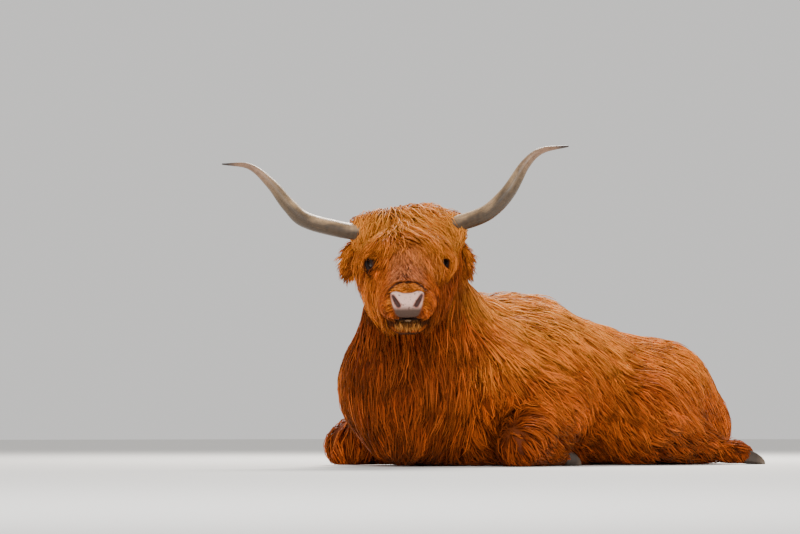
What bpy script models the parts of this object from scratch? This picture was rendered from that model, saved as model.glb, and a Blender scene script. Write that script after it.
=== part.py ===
"""Highland cow lying on its chest, head turned to its left, life size.

Metres, +Z up. The cow heads towards -Y and its left side is +X. Every size below is in the cow's own
frame, whose origin is on the floor under the base of the neck; place_on_origin() at the end moves the
finished cow so that its bounding box stands centred on the world's origin.

The flesh is a smooth blend of named masses, each a capsule with two radii. The solids' core is that
flesh with the lower third of the coat on it, and flat tapered locks make the rest of the coat.
"""
import math

import bmesh
import bpy
import numpy as np
from mathutils import Matrix, Vector

SEED = 14
GAP = 0.0003                  # left between solids that touch
SHARP_ANGLE = math.radians(24.0)
WITHERS = 0.60                # height of the flesh at the withers, lying
CORE_DEPTH = 0.014            # the lower third of the body coat, part of the core
FACE_DEPTH = 0.004            # the same on the face

# Head frame: origin on top of the poll, -Y along the face, +X to the cow's left.
POLL = Vector((0.178, -0.161, 0.867))
HEAD_TURN = math.radians(48.0)
HEAD_PITCH = math.radians(37.0)
HEAD_ROLL = math.radians(1.5)
HEAD = (Matrix.Translation(POLL) @ Matrix.Rotation(HEAD_TURN, 4, "Z")
        @ Matrix.Rotation(HEAD_PITCH, 4, "X") @ Matrix.Rotation(-HEAD_ROLL, 4, "Y"))

# Face frame: upright, origin between the horns' roots, +X to the cow's left, -Y out of the face.
HORN_LINE = Vector((0.178, -0.161, 0.828))
FACE = Matrix.Translation(HORN_LINE) @ Matrix.Rotation(HEAD_TURN, 4, "Z")

EYE_RADIUS = 0.019
EYE_AT = (0.116, -0.212, -0.056)
EYE_AXIS = (0.70, -0.55, 0.46)
HORN_RADIUS = 0.0285
HORN_EVEN = 0.42              # share of the horn's length before it tapers
BODY_FACES = 1300
HEAD_FACES = 1600
BODY_VOXEL = 0.014
HEAD_VOXEL = 0.0055
LIMB_VOXEL = 0.006
HOOF_LENGTH = 0.082
HOOF_HEIGHT = 0.050

# Horns' routes from root to tip for the left (1) and right (-1), each in the face frame, +X outwards.
HORN_ROUTES = {
    1: ((0.105, 0.0, -0.004), (0.179, -0.012, 0.014), (0.276, -0.045, 0.048), (0.348, -0.065, 0.116),
        (0.409, -0.070, 0.214), (0.466, -0.065, 0.262), (0.559, -0.045, 0.279)),
    -1: ((0.105, 0.0, -0.012), (0.183, -0.012, -0.0155), (0.340, -0.045, 0.019), (0.404, -0.060, 0.069),
         (0.467, -0.070, 0.145), (0.541, -0.065, 0.206), (0.638, -0.045, 0.217)),
}

# Ears in the face frame, +X outwards.
EAR_ROOT = (0.132, 0.045, -0.035)
EAR_TIP = (0.212, 0.058, -0.160)

# Lower legs: hock or knee, fetlock, the hoof's coronet, and the bone's radius with its short hair.
SHANKS = {
    "fore_shank_L": ((0.355, 0.215, 0.040), (0.318, 0.400, 0.042), (0.308, 0.470, 0.036), 0.034),
    "fore_shank_R": ((-0.366, 0.075, 0.040), (-0.325, 0.260, 0.042), (-0.314, 0.330, 0.036), 0.034),
    "hind_shank_L": ((0.330, 1.150, 0.070), (0.400, 1.290, 0.044), (0.412, 1.325, 0.038), 0.036),
    "hind_shank_R": ((-0.355, 1.150, 0.060), (-0.425, 0.965, 0.044), (-0.436, 0.920, 0.038), 0.036),
}

# The tail from its dock to the end of its tuft.
TAIL_ROUTE = ((0.0, 1.36, 0.290), (0.0, 1.48, 0.270), (-0.01, 1.555, 0.190), (-0.02, 1.590, 0.100),
              (-0.06, 1.620, 0.042), (-0.16, 1.640, 0.034))
SWITCH_ROUTE = ((-0.155, 1.640, 0.034), (-0.26, 1.625, 0.040), (-0.38, 1.580, 0.030),
                (-0.535, 1.480, 0.012))

# Planes that part the nodes, each a point and a normal into the node.
FLOOR_PLANE = [((0.0, 0.0, 0.0), (0.0, 0.0, 1.0))]
HEAD_FORWARD = Vector((math.sin(HEAD_TURN), -math.cos(HEAD_TURN), 0.0))
NAPE_POINT = Vector((0.0, 0.0, 0.86)) + HEAD_FORWARD * 0.125
NAPE_NORMAL = (HEAD_FORWARD + Vector((0.0, 0.0, 0.333))).normalized()
NECK_PLANE = ((0.0, 0.07, 0.50), (0.0, -0.6, 0.8))
SHOULDER_LINE = 0.63
LOIN_LINE = 1.10
LEG_CELLS = {
    "foreleg_L": [((0.19, 0.44, 0.0), (0.91, 0.42, 0.0)), ((0.0, 0.60, 0.0), (0.0, -1.0, 0.0)),
                  ((0.0, 0.0, 0.28), (0.0, 0.0, -1.0))],
    "foreleg_R": [((-0.19, 0.34, 0.0), (-0.91, 0.42, 0.0)), ((0.0, 0.50, 0.0), (0.0, -1.0, 0.0)),
                  ((0.0, 0.0, 0.28), (0.0, 0.0, -1.0))],
    "thigh_L": [((0.22, 1.0, 0.0), (1.0, 0.0, 0.0)), ((0.0, 0.72, 0.0), (0.0, 1.0, 0.0)),
                ((0.0, 0.0, 0.35), (0.0, 0.0, -1.0))],
    "thigh_R": [((-0.22, 1.0, 0.0), (-1.0, 0.0, 0.0)), ((0.0, 0.72, 0.0), (0.0, 1.0, 0.0)),
                ((0.0, 0.0, 0.35), (0.0, 0.0, -1.0))],
}

# Locks: spacing across the lie, length, width, thickness, and the height of each point over the core.
LOCK_STEPS = (0.24, 0.42, 0.34)
LOCK_WIDTHS = (0.62, 1.00, 0.80)
LOCK_RIDGES = (0.90, 1.00, 0.80)
LOCK_STRETCH = 0.50           # share of a distance along the lie that counts in the spacing
COAT = (0.132, 0.37, 0.116, 0.016, (-0.018, 0.011, 0.021, 0.024))
FORELOCK = (0.042, 0.19, 0.044, 0.012, (-0.010, 0.022, 0.028, 0.020))
FRINGE = (0.052, 0.10, 0.042, 0.010, (-0.008, 0.009, 0.016, 0.018))
CHEEK = (0.056, 0.12, 0.046, 0.010, (-0.008, 0.014, 0.026, 0.030))
BEARD = (0.085, 0.085, 0.040, 0.012, (-0.010, 0.012, 0.022, 0.034))
FLOOR_CLEAR = 0.008
EAR_LOCK = (0.050, 0.024, 0.007)      # length, width and thickness
SWITCH_LOCK = (0.040, 0.012)          # width and thickness


def mass(start, end, radius, end_radius, squash=(1.0, 1.0, 1.0), blend=0.06):
    """One mass of flesh: a capsule between two centres, with its radii scaled along X, Y and Z."""
    return (np.array(start), np.array(end), radius, end_radius, np.array(squash), blend)


def both_sides(start, end, radius, end_radius, squash=(1.0, 1.0, 1.0), blend=0.06):
    """The same mass on the left and on the right."""
    pair = []
    for side in (1, -1):
        pair.append(mass((side * start[0], start[1], start[2]), (side * end[0], end[1], end[2]),
                         radius, end_radius, squash, blend))
    return pair


def torso_masses():
    masses = [
        mass((0.0, 0.005, 0.285), (0.0, 0.52, 0.325), 0.215, 0.262),
        mass((0.0, 0.24, WITHERS - 0.10), (0.0, 0.64, WITHERS - 0.095), 0.09, 0.085),
        mass((0.0, 0.58, 0.288), (0.0, 1.02, 0.245), 0.275, 0.225, (1.15, 1.0, 1.0)),
        mass((0.0, 1.02, 0.230), (0.0, 1.34, 0.195), 0.205, 0.165, (1.12, 1.0, 1.0)),
        mass((0.0, 0.60, 0.475), (0.0, 1.34, 0.280), 0.070, 0.065),
        mass((0.05, -0.05, 0.17), (0.0, 0.30, 0.14), 0.125, 0.140),
        mass((0.0, 0.25, 0.150), (0.0, 1.15, 0.140), 0.152, 0.150, (1.3, 1.0, 1.0)),
    ]
    masses += both_sides((0.15, 0.14, 0.36), (0.25, 0.46, 0.20), 0.115, 0.105)
    masses += both_sides((0.17, 1.05, 0.300), (0.10, 1.36, 0.215), 0.080, 0.080)
    masses += both_sides((0.12, 1.20, 0.13), (0.125, 1.36, 0.140), 0.130, 0.128)
    return masses


def neck_masses():
    return [
        mass((0.0, 0.16, 0.42), (0.105, -0.085, 0.675), 0.195, 0.122, (1.0, 1.0, 1.0)),
        mass((0.065, -0.085, 0.50), (0.045, -0.075, 0.26), 0.110, 0.120),
    ]


def leg_masses():
    """Upper legs only: forearms folded out to the knees, and thighs down to the hocks."""
    masses = [
        mass((0.235, 0.47, 0.180), (0.360, 0.20, 0.076), 0.112, 0.068, blend=0.04),
        mass((-0.235, 0.35, 0.180), (-0.372, 0.060, 0.080), 0.115, 0.075, blend=0.04),
        mass((0.13, 1.20, 0.28), (0.280, 0.90, 0.190), 0.155, 0.125, blend=0.09),
        mass((-0.13, 1.20, 0.27), (-0.285, 0.90, 0.180), 0.155, 0.125, blend=0.09),
        mass((0.280, 0.90, 0.145), (0.325, 1.15, 0.078), 0.125, 0.068, blend=0.05),
        mass((-0.285, 0.90, 0.145), (-0.345, 1.15, 0.076), 0.125, 0.066, blend=0.05),
    ]
    return masses


def head_masses():
    """Skull and cheeks in the head frame; the lower jaw is part of the same flesh."""
    masses = [
        mass((0.0, -0.045, -0.085), (0.0, -0.20, -0.080), 0.082, 0.080, (1.28, 1.0, 1.0), 0.03),
        mass((-0.085, 0.0, -0.045), (0.085, 0.0, -0.045), 0.046, 0.046, blend=0.03),
        mass((0.0, -0.20, -0.070), (0.0, -0.415, -0.060), 0.064, 0.049, (1.05, 1.0, 1.0), 0.04),
        mass((-0.034, -0.435, -0.062), (0.034, -0.435, -0.062), 0.050, 0.050, blend=0.03),
        mass((0.0, -0.19, -0.185), (0.0, -0.385, -0.158), 0.050, 0.032, (1.25, 1.0, 1.0), 0.02),
        mass((-0.022, -0.400, -0.163), (0.022, -0.400, -0.163), 0.038, 0.038, blend=0.02),
    ]
    masses += both_sides((0.088, -0.185, -0.055), (0.084, -0.215, -0.072), 0.042, 0.040, blend=0.025)
    masses += both_sides((0.055, -0.10, -0.135), (0.045, -0.24, -0.160), 0.078, 0.052, blend=0.04)
    masses += both_sides((0.045, -0.24, -0.105), (0.036, -0.38, -0.088), 0.056, 0.044, blend=0.03)
    masses += both_sides((0.115, -0.012, -0.052), (0.150, 0.0, -0.050), 0.042, 0.036, blend=0.02)
    return masses


def eye_basis(side):
    """Centre of an eye, the way it looks, and the directions along and across its lids."""
    centre = Vector((side * EYE_AT[0], EYE_AT[1], EYE_AT[2]))
    axis = Vector((side * EYE_AXIS[0], EYE_AXIS[1], EYE_AXIS[2])).normalized()
    along = Vector((0.0, -1.0, -0.15))
    along = (along - axis * along.dot(axis)).normalized()
    across = axis.cross(along) * -side
    return centre, axis, along, across


def head_hollows():
    """What is scooped out of the head: the slits of the eyes, nostrils and the open mouth."""
    hollows = []
    for side in (1, -1):
        centre, axis, along, _ = eye_basis(side)
        front = centre + axis * 0.030
        hollows.append(mass(front - along * 0.0085, front + along * 0.0095, 0.0135, 0.0120))
    hollows += both_sides((0.043, -0.502, -0.012), (0.026, -0.492, -0.054), 0.0125, 0.0085)
    hollows.append(mass((0.0, -0.37, -0.127), (0.0, -0.54, -0.125), 0.0070, 0.0150, (3.2, 1.0, 1.0)))
    return hollows


def lid_masses():
    """Upper and lower lids as short arcs round each eye, in the head frame."""
    lids = []
    for side in (1, -1):
        centre, axis, along, across = eye_basis(side)
        for bow in (1, -1):
            points = []
            for step in range(4):
                angle = math.radians(-75 + step * 50)
                points.append(centre + axis * (0.0165 + 0.002 * math.cos(angle))
                              + along * (0.0215 * math.sin(angle))
                              + across * (bow * (0.003 + 0.0125 * math.cos(angle))))
            for first, second in zip(points, points[1:]):
                lids.append(mass(first, second, 0.0050, 0.0050, blend=0.008))
    return lids


def capsule_distance(points, start, end, radius, end_radius, squash):
    scaled = points / squash
    first = start / squash
    axis = end / squash - first
    along = np.clip((scaled - first) @ axis / max(axis @ axis, 1e-12), 0.0, 1.0)
    nearest = first + along[:, None] * axis
    reach = radius + (end_radius - radius) * along
    return (np.linalg.norm(scaled - nearest, axis=1) - reach) * squash.min()


def local_points(points, frame):
    inverse = np.array(frame.inverted())
    return points @ inverse[:3, :3].T + inverse[:3, 3]


class Flesh:
    """A smooth blend of masses under an even depth of coat. Negative inside."""

    def __init__(self, groups, depth=0.0):
        self.groups = groups
        self.depth = depth

    def distance(self, points):
        total = None
        for masses, frame in self.groups:
            local = points if frame is None else local_points(points, frame)
            for start, end, radius, end_radius, squash, blend in masses:
                part = capsule_distance(local, start, end, radius, end_radius, squash)
                if total is None:
                    total = part
                    continue
                near = np.maximum(blend - np.abs(total - part), 0.0) / blend
                total = np.minimum(total, part) - near * near * blend * 0.25
        return total - self.depth

    def slope(self, points, step=0.0015):
        gradient = np.zeros_like(points)
        for axis in range(3):
            shift = np.zeros(3)
            shift[axis] = step
            gradient[:, axis] = (self.distance(points + shift) - self.distance(points - shift)) / (2 * step)
        return gradient

    def normals(self, points):
        gradient = self.slope(points)
        return gradient / np.maximum(np.linalg.norm(gradient, axis=1), 1e-9)[:, None]

    def settle(self, points, height, rounds=5):
        """Moves points along the slope until they stand at that height over the flesh."""
        points = points.copy()
        for _ in range(rounds):
            gradient = self.slope(points)
            size = np.maximum((gradient * gradient).sum(axis=1), 0.15)
            miss = self.distance(points) - height
            points -= gradient * (miss / size)[:, None]
        return points


def new_object(name, mesh):
    thing = bpy.data.objects.new(name, mesh)
    bpy.context.scene.collection.objects.link(thing)
    return thing


def applied(thing):
    """Replaces an object's mesh with its evaluated one and drops its modifiers."""
    graph = bpy.context.evaluated_depsgraph_get()
    mesh = bpy.data.meshes.new_from_object(thing.evaluated_get(graph))
    thing.modifiers.clear()
    thing.data = mesh
    return thing


def coordinates(mesh):
    flat = np.empty(len(mesh.vertices) * 3)
    mesh.vertices.foreach_get("co", flat)
    return flat.reshape(-1, 3)


def hull_of_mass(start, end, radius, end_radius, squash, grow):
    """A mesh of the convex hull of a mass's two end balls."""
    ball = bmesh.new()
    bmesh.ops.create_icosphere(ball, subdivisions=2, radius=1.0)
    directions = [vertex.co.copy() for vertex in ball.verts]
    ball.free()
    hull = bmesh.new()
    for centre, size in ((start, radius), (end, end_radius)):
        for direction in directions:
            reach = Vector([(size + grow) * part * scale for part, scale in zip(direction, squash)])
            hull.verts.new(Vector(centre) + reach)
    made = bmesh.ops.convex_hull(hull, input=hull.verts)
    spare = {part for part in made["geom_interior"] + made["geom_unused"]
             if isinstance(part, bmesh.types.BMVert)}
    bmesh.ops.delete(hull, geom=list(spare), context="VERTS")
    mesh = bpy.data.meshes.new("hull")
    hull.to_mesh(mesh)
    hull.free()
    return mesh


def flesh_object(name, flesh, groups, voxel, faces):
    """A closed mesh of the flesh: its masses fused on a grid, settled on the field, made sparser."""
    bm = bmesh.new()
    for masses, frame in groups:
        for start, end, radius, end_radius, squash, _ in masses:
            mesh = hull_of_mass(start, end, radius, end_radius, squash, flesh.depth + voxel * 0.5)
            if frame is not None:
                mesh.transform(frame)
            bm.from_mesh(mesh)
            bpy.data.meshes.remove(mesh)
    mesh = bpy.data.meshes.new(name)
    bm.to_mesh(mesh)
    bm.free()
    thing = new_object(name, mesh)
    fuse = thing.modifiers.new("fuse", "REMESH")
    fuse.mode = "VOXEL"
    fuse.voxel_size = voxel
    applied(thing)
    points = flesh.settle(coordinates(thing.data), 0.0, rounds=8)
    thing.data.vertices.foreach_set("co", points.ravel())
    relax = thing.modifiers.new("relax", "SMOOTH")
    relax.factor = 0.5
    relax.iterations = 2
    applied(thing)
    points = flesh.settle(coordinates(thing.data), 0.0, rounds=4)
    thing.data.vertices.foreach_set("co", points.ravel())
    dense = thing.data
    for more in (1.0, 1.03, 1.06, 1.09):
        thing.data = dense.copy()
        sparse = thing.modifiers.new("sparse", "DECIMATE")
        sparse.ratio = min(1.0, more * faces / (2.0 * len(dense.polygons)))
        applied(thing)
        keep_largest(thing)
        if is_closed(thing.data):
            break
    return thing


def triangulated(mesh):
    """A mesh in triangles, by the first method that gives every edge two faces."""
    for method in ("BEAUTY", "EAR_CLIP"):
        bm = bmesh.new()
        bm.from_mesh(mesh)
        bmesh.ops.triangulate(bm, faces=bm.faces, ngon_method=method)
        if all(len(edge.link_faces) == 2 for edge in bm.edges):
            break
    return bm


def keep_largest(thing):
    """Keeps an object's largest closed surface and returns how many others were dropped."""
    bm = triangulated(thing.data)
    seen = set()
    surfaces = []
    for seed in bm.faces:
        if seed in seen:
            continue
        surface = []
        stack = [seed]
        seen.add(seed)
        while stack:
            face = stack.pop()
            surface.append(face)
            for edge in face.edges:
                if len(edge.link_faces) != 2:
                    continue
                for other in edge.link_faces:
                    if other not in seen:
                        seen.add(other)
                        stack.append(other)
        surfaces.append(surface)
    surfaces.sort(key=lambda surface: -sum(face.calc_area() for face in surface))
    for surface in surfaces[1:]:
        bmesh.ops.delete(bm, geom=surface, context="FACES")
    bm.to_mesh(thing.data)
    bm.free()
    return len(surfaces) - 1


def is_closed(mesh):
    """True where every edge of a mesh joins exactly two faces."""
    uses = np.zeros(len(mesh.edges), dtype=int)
    edges = np.empty(len(mesh.loops), dtype=int)
    mesh.loops.foreach_get("edge_index", edges)
    np.add.at(uses, edges, 1)
    return bool((uses == 2).all())


def boolean(thing, operation, other):
    """Applies one Boolean with an object or a collection."""
    modifier = thing.modifiers.new(operation.lower(), "BOOLEAN")
    modifier.operation = operation
    modifier.solver = "MANIFOLD"
    if isinstance(other, bpy.types.Collection):
        modifier.operand_type = "COLLECTION"
        modifier.collection = other
    else:
        modifier.object = other
        if not is_closed(thing.data) or not is_closed(other.data):
            modifier.solver = "EXACT"
    applied(thing)
    return thing


def copy_of(thing, name, grow=0.0):
    """A copy of an object, grown along its vertex normals."""
    mesh = thing.data.copy()
    if grow:
        normals = np.empty(len(mesh.vertices) * 3)
        mesh.vertex_normals.foreach_get("vector", normals)
        mesh.vertices.foreach_set("co", (coordinates(mesh).ravel() + grow * normals))
    return new_object(name, mesh)


def scooped(thing, hollows, frame):
    """Cuts hollows, given as masses in a frame, out of an object."""
    for start, end, radius, end_radius, squash, _ in hollows:
        mesh = hull_of_mass(start, end, radius, end_radius, squash, 0.0)
        mesh.transform(frame)
        cutter = new_object("cutter", mesh)
        boolean(thing, "DIFFERENCE", cutter)
        bpy.data.objects.remove(cutter)
    return thing


def grown(thing):
    """A cutter of an object's present shape, larger by the gap all round."""
    cutter = copy_of(thing, "cutter_" + thing.name, GAP)
    cutter.hide_render = True
    cutter.display_type = "WIRE"
    return cutter


def carved(thing, cutters):
    """Cuts an object clear of its neighbours."""
    for cutter in cutters:
        boolean(thing, "DIFFERENCE", cutter)
    return thing


def cell(planes, grow=0.0):
    """A convex block bounded by planes, each a point and a normal that points into the block."""
    bm = bmesh.new()
    bmesh.ops.create_cube(bm, size=6.0)
    for point, normal in planes:
        inward = Vector(normal).normalized()
        at = Vector(point) - inward * grow
        bmesh.ops.bisect_plane(bm, geom=bm.verts[:] + bm.edges[:] + bm.faces[:], plane_co=at,
                               plane_no=-inward, clear_outer=True)
        bmesh.ops.holes_fill(bm, edges=bm.edges[:])
    bmesh.ops.recalc_face_normals(bm, faces=bm.faces)
    mesh = bpy.data.meshes.new("cell")
    bm.to_mesh(mesh)
    bm.free()
    return new_object("cell", mesh)


def part_off(rest, name, planes):
    """Parts a node off the rest with a thin cut along the planes."""
    node = copy_of(rest, name)
    block = cell(planes)
    boolean(node, "INTERSECT", block)
    bpy.data.objects.remove(block)
    block = cell(planes, GAP)
    boolean(rest, "DIFFERENCE", block)
    bpy.data.objects.remove(block)
    return node


def in_frame(frame, point, normal):
    return (frame @ Vector(point), frame.to_3x3() @ Vector(normal))


def make_horn(name, side, route, rings=14, sides=10):
    """A horn along a smooth route given in the face frame: even to past its middle, then tapering."""
    points = smooth_route([FACE @ Vector((side * x, y, z)) for x, y, z in route], rings)
    radii = []
    for ring in range(rings):
        part = ring / (rings - 1)
        taper = max(0.0, part - HORN_EVEN) / (1.0 - HORN_EVEN)
        radii.append(HORN_RADIUS * (1.0 - 0.06 * part) * (1.0 - 0.86 * taper ** 1.25))
    return tube(name, points, radii, sides)


def smooth_route(points, count):
    """Evenly spaced points on a Catmull-Rom curve through the given ones."""
    ends = [points[0] * 2 - points[1]] + list(points) + [points[-1] * 2 - points[-2]]
    dense = []
    for index in range(len(points) - 1):
        p0, p1, p2, p3 = ends[index:index + 4]
        for step in range(16):
            t = step / 16
            dense.append(0.5 * (p1 * 2 + (p2 - p0) * t + (p0 * 2 - p1 * 5 + p2 * 4 - p3) * t * t
                                + (p1 * 3 - p0 - p2 * 3 + p3) * t * t * t))
    dense.append(points[-1].copy())
    lengths = [0.0]
    for first, second in zip(dense, dense[1:]):
        lengths.append(lengths[-1] + (second - first).length)
    even = []
    index = 0
    for step in range(count):
        wanted = lengths[-1] * step / (count - 1)
        while index < len(dense) - 2 and lengths[index + 1] < wanted:
            index += 1
        share = (wanted - lengths[index]) / max(lengths[index + 1] - lengths[index], 1e-9)
        even.append(dense[index].lerp(dense[index + 1], min(1.0, share)))
    return even


def tube(name, points, radii, sides):
    """A closed tube of round rings along points."""
    bm = bmesh.new()
    rings = []
    across = None
    for index, centre in enumerate(points):
        ahead = points[min(index + 1, len(points) - 1)] - points[max(index - 1, 0)]
        ahead.normalize()
        if across is None:
            across = ahead.orthogonal().normalized()
        across = (across - ahead * across.dot(ahead)).normalized()
        up = ahead.cross(across)
        ring = []
        for side in range(sides):
            angle = 2 * math.pi * side / sides
            ring.append(bm.verts.new(centre + across * (radii[index] * math.cos(angle))
                                     + up * (radii[index] * math.sin(angle))))
        rings.append(ring)
    for first, second in zip(rings, rings[1:]):
        for side in range(sides):
            other = (side + 1) % sides
            bm.faces.new((first[side], first[other], second[other], second[side]))
    bm.faces.new(list(reversed(rings[0])))
    bm.faces.new(rings[-1])
    bmesh.ops.triangulate(bm, faces=bm.faces)
    bmesh.ops.recalc_face_normals(bm, faces=bm.faces)
    mesh = bpy.data.meshes.new(name)
    bm.to_mesh(mesh)
    bm.free()
    return new_object(name, mesh)


def make_eye(name, side):
    bm = bmesh.new()
    bmesh.ops.create_icosphere(bm, subdivisions=2, radius=EYE_RADIUS)
    centre = HEAD @ Vector((side * EYE_AT[0], EYE_AT[1], EYE_AT[2]))
    bmesh.ops.transform(bm, matrix=Matrix.Translation(centre), verts=bm.verts)
    bmesh.ops.triangulate(bm, faces=bm.faces)
    mesh = bpy.data.meshes.new(name)
    bm.to_mesh(mesh)
    bm.free()
    return new_object(name, mesh)


def make_ear(name, side, steps=6, spans=4):
    """A cupped leaf that opens forwards, thickest at its root."""
    root = Vector((side * EAR_ROOT[0], EAR_ROOT[1], EAR_ROOT[2]))
    tip = Vector((side * EAR_TIP[0], EAR_TIP[1], EAR_TIP[2]))
    along = (tip - root).normalized()
    front = Vector((side * 0.25, -1.0, 0.0))
    front = (front - along * front.dot(along)).normalized()
    across = along.cross(front) * side
    length = (tip - root).length
    bm = bmesh.new()
    sheets = {1: [], -1: []}
    for face in (1, -1):
        for step in range(steps + 1):
            part = step / steps
            half = 0.012 + 0.036 * math.sin(math.pi * min(1.0, 0.12 + 0.88 * part)) ** 0.8
            half = max(half, 0.004) if step < steps else 0.004
            cup = 0.022 * math.sin(math.pi * min(1.0, 0.25 + 0.70 * part))
            thick = 0.0045 * (1.0 - 0.6 * part) + 0.0015
            row = []
            for span in range(spans + 1):
                spot = 2.0 * span / spans - 1.0
                depth = cup * (spot * spot - 0.5) + (face * thick * (1.0 - 0.75 * spot * spot))
                point = root + along * (length * part) + across * (half * spot) + front * depth
                row.append(bm.verts.new(FACE @ point))
            sheets[face].append(row)
    for face in (1, -1):
        rows = sheets[face]
        for step in range(steps):
            for span in range(spans):
                bm.faces.new((rows[step][span], rows[step][span + 1],
                              rows[step + 1][span + 1], rows[step + 1][span]))
    front_rows = sheets[1]
    back_rows = sheets[-1]
    for step in range(steps):
        for span in (0, spans):
            bm.faces.new((front_rows[step][span], front_rows[step + 1][span],
                          back_rows[step + 1][span], back_rows[step][span]))
    for step in (0, steps):
        for span in range(spans):
            bm.faces.new((front_rows[step][span], front_rows[step][span + 1],
                          back_rows[step][span + 1], back_rows[step][span]))
    bmesh.ops.recalc_face_normals(bm, faces=bm.faces)
    bmesh.ops.triangulate(bm, faces=bm.faces)
    mesh = bpy.data.meshes.new(name)
    bm.to_mesh(mesh)
    bm.free()
    return new_object(name, mesh)


def limb(name, masses, faces):
    """A short-haired lower leg of its own masses."""
    groups = [(masses, None)]
    return flesh_object(name, Flesh(groups, 0.003), groups, LIMB_VOXEL, faces)


def make_shank(name):
    """Cannon and pastern of one folded leg, down to the hoof's coronet."""
    hock, fetlock, pastern, radius = SHANKS[name]
    return limb(name, [mass(hock, fetlock, radius, radius * 0.92, blend=0.015),
                       mass(fetlock, fetlock, radius * 1.08, radius * 1.08, blend=0.015),
                       mass(fetlock, pastern, radius, radius * 0.94, blend=0.015)], 70)


def make_claws(shank):
    """Both claws of the hoof at the end of a shank, each a node of its own."""
    _, fetlock, pastern, radius = SHANKS[shank]
    ahead = (Vector(pastern) - Vector(fetlock)).normalized()
    ahead.z = -0.10
    ahead.normalize()
    across = ahead.cross(Vector((0.0, 0.0, 1.0))).normalized()
    claws = []
    for side, mark in ((1, "a"), (-1, "b")):
        heel = Vector(pastern) + across * (side * radius * 0.58)
        heel.z = HOOF_HEIGHT * 0.5 + 0.004
        toe = heel + ahead * HOOF_LENGTH
        claws.append(make_claw(shank.replace("shank", "claw") + "_" + mark, heel, toe,
                               radius * 1.08, HOOF_HEIGHT))
    return claws


def make_claw(name, heel, toe, width, height):
    """One claw of a cloven hoof: a wedge from its heel to its rounded toe, flat below."""
    ahead = toe - heel
    length = ahead.length
    ahead.normalize()
    across = ahead.cross(Vector((0.0, 0.0, 1.0))).normalized()
    up = across.cross(ahead)
    bm = bmesh.new()
    rings = []
    for part, wide, high in ((-0.15, 0.80, 0.42), (0.15, 1.0, 0.50), (0.45, 0.98, 0.36),
                             (0.75, 0.80, 0.12), (0.93, 0.50, -0.12), (1.0, 0.22, -0.30)):
        ring = []
        for x, share in ((-0.46, 0.0), (0.46, 0.0), (0.50, 0.40), (0.30, 1.0), (-0.30, 1.0),
                         (-0.50, 0.40)):
            z = -0.5 + (high + 0.5) * share
            ring.append(bm.verts.new(heel + ahead * (length * part) + across * (width * wide * x)
                                     + up * (height * z)))
        rings.append(ring)
    for first, second in zip(rings, rings[1:]):
        for side in range(6):
            other = (side + 1) % 6
            bm.faces.new((first[side], first[other], second[other], second[side]))
    bm.faces.new(rings[0])
    bm.faces.new(rings[-1])
    bmesh.ops.recalc_face_normals(bm, faces=bm.faces)
    bmesh.ops.triangulate(bm, faces=bm.faces)
    mesh = bpy.data.meshes.new(name)
    bm.to_mesh(mesh)
    bm.free()
    return new_object(name, mesh)


def make_tail():
    points = smooth_route([Vector(point) for point in TAIL_ROUTE], 12)
    radii = [0.036 - 0.014 * math.sqrt(index / 11) for index in range(12)]
    return tube("tail", points, radii, 8)


def make_switch():
    """The core of the tail's tuft, laid along the floor."""
    points = smooth_route([Vector(point) for point in SWITCH_ROUTE[:3]], 7)
    radii = [0.020 + 0.012 * math.sin(math.pi * index / 6) for index in range(7)]
    radii[-1] = 0.008
    return tube("tail_switch", points, radii, 8)


def make_tongue():
    groups = [([mass((0.0, -0.350, -0.131), (0.0, -0.440, -0.134), 0.0105, 0.0095,
                     (2.1, 1.0, 1.0))], HEAD)]
    return flesh_object("tongue", Flesh(groups), groups, 0.004, 110)


def surface_samples(thing, count, rng):
    """Random points on an object's surface with their faces' normals, even by area."""
    mesh = thing.data
    mesh.calc_loop_triangles()
    corners = np.empty(len(mesh.loop_triangles) * 3, dtype=int)
    mesh.loop_triangles.foreach_get("vertices", corners)
    points = coordinates(mesh)[corners.reshape(-1, 3)]
    crossed = np.cross(points[:, 1] - points[:, 0], points[:, 2] - points[:, 0])
    doubled = np.linalg.norm(crossed, axis=1)
    chosen = rng.choice(len(points), size=count, p=doubled / doubled.sum())
    first, second = rng.random(count), rng.random(count)
    over = first + second > 1.0
    first[over], second[over] = 1.0 - first[over], 1.0 - second[over]
    base = points[chosen]
    spots = (base[:, 0] + (base[:, 1] - base[:, 0]) * first[:, None]
             + (base[:, 2] - base[:, 0]) * second[:, None])
    return spots, crossed[chosen] / np.maximum(doubled[chosen], 1e-12)[:, None]


def spread(points, spacing, ways):
    """Indices of points that stand at least their spacing apart, closer along the lie than across."""
    kept = []
    for index, point in enumerate(points):
        if kept:
            apart = points[kept] - point
            along = apart @ ways[index]
            squared = (apart * apart).sum(axis=1) - along * along * (1.0 - LOCK_STRETCH ** 2)
            if squared.min() < spacing[index] ** 2:
                continue
        kept.append(index)
    return np.array(kept, dtype=int)


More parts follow.
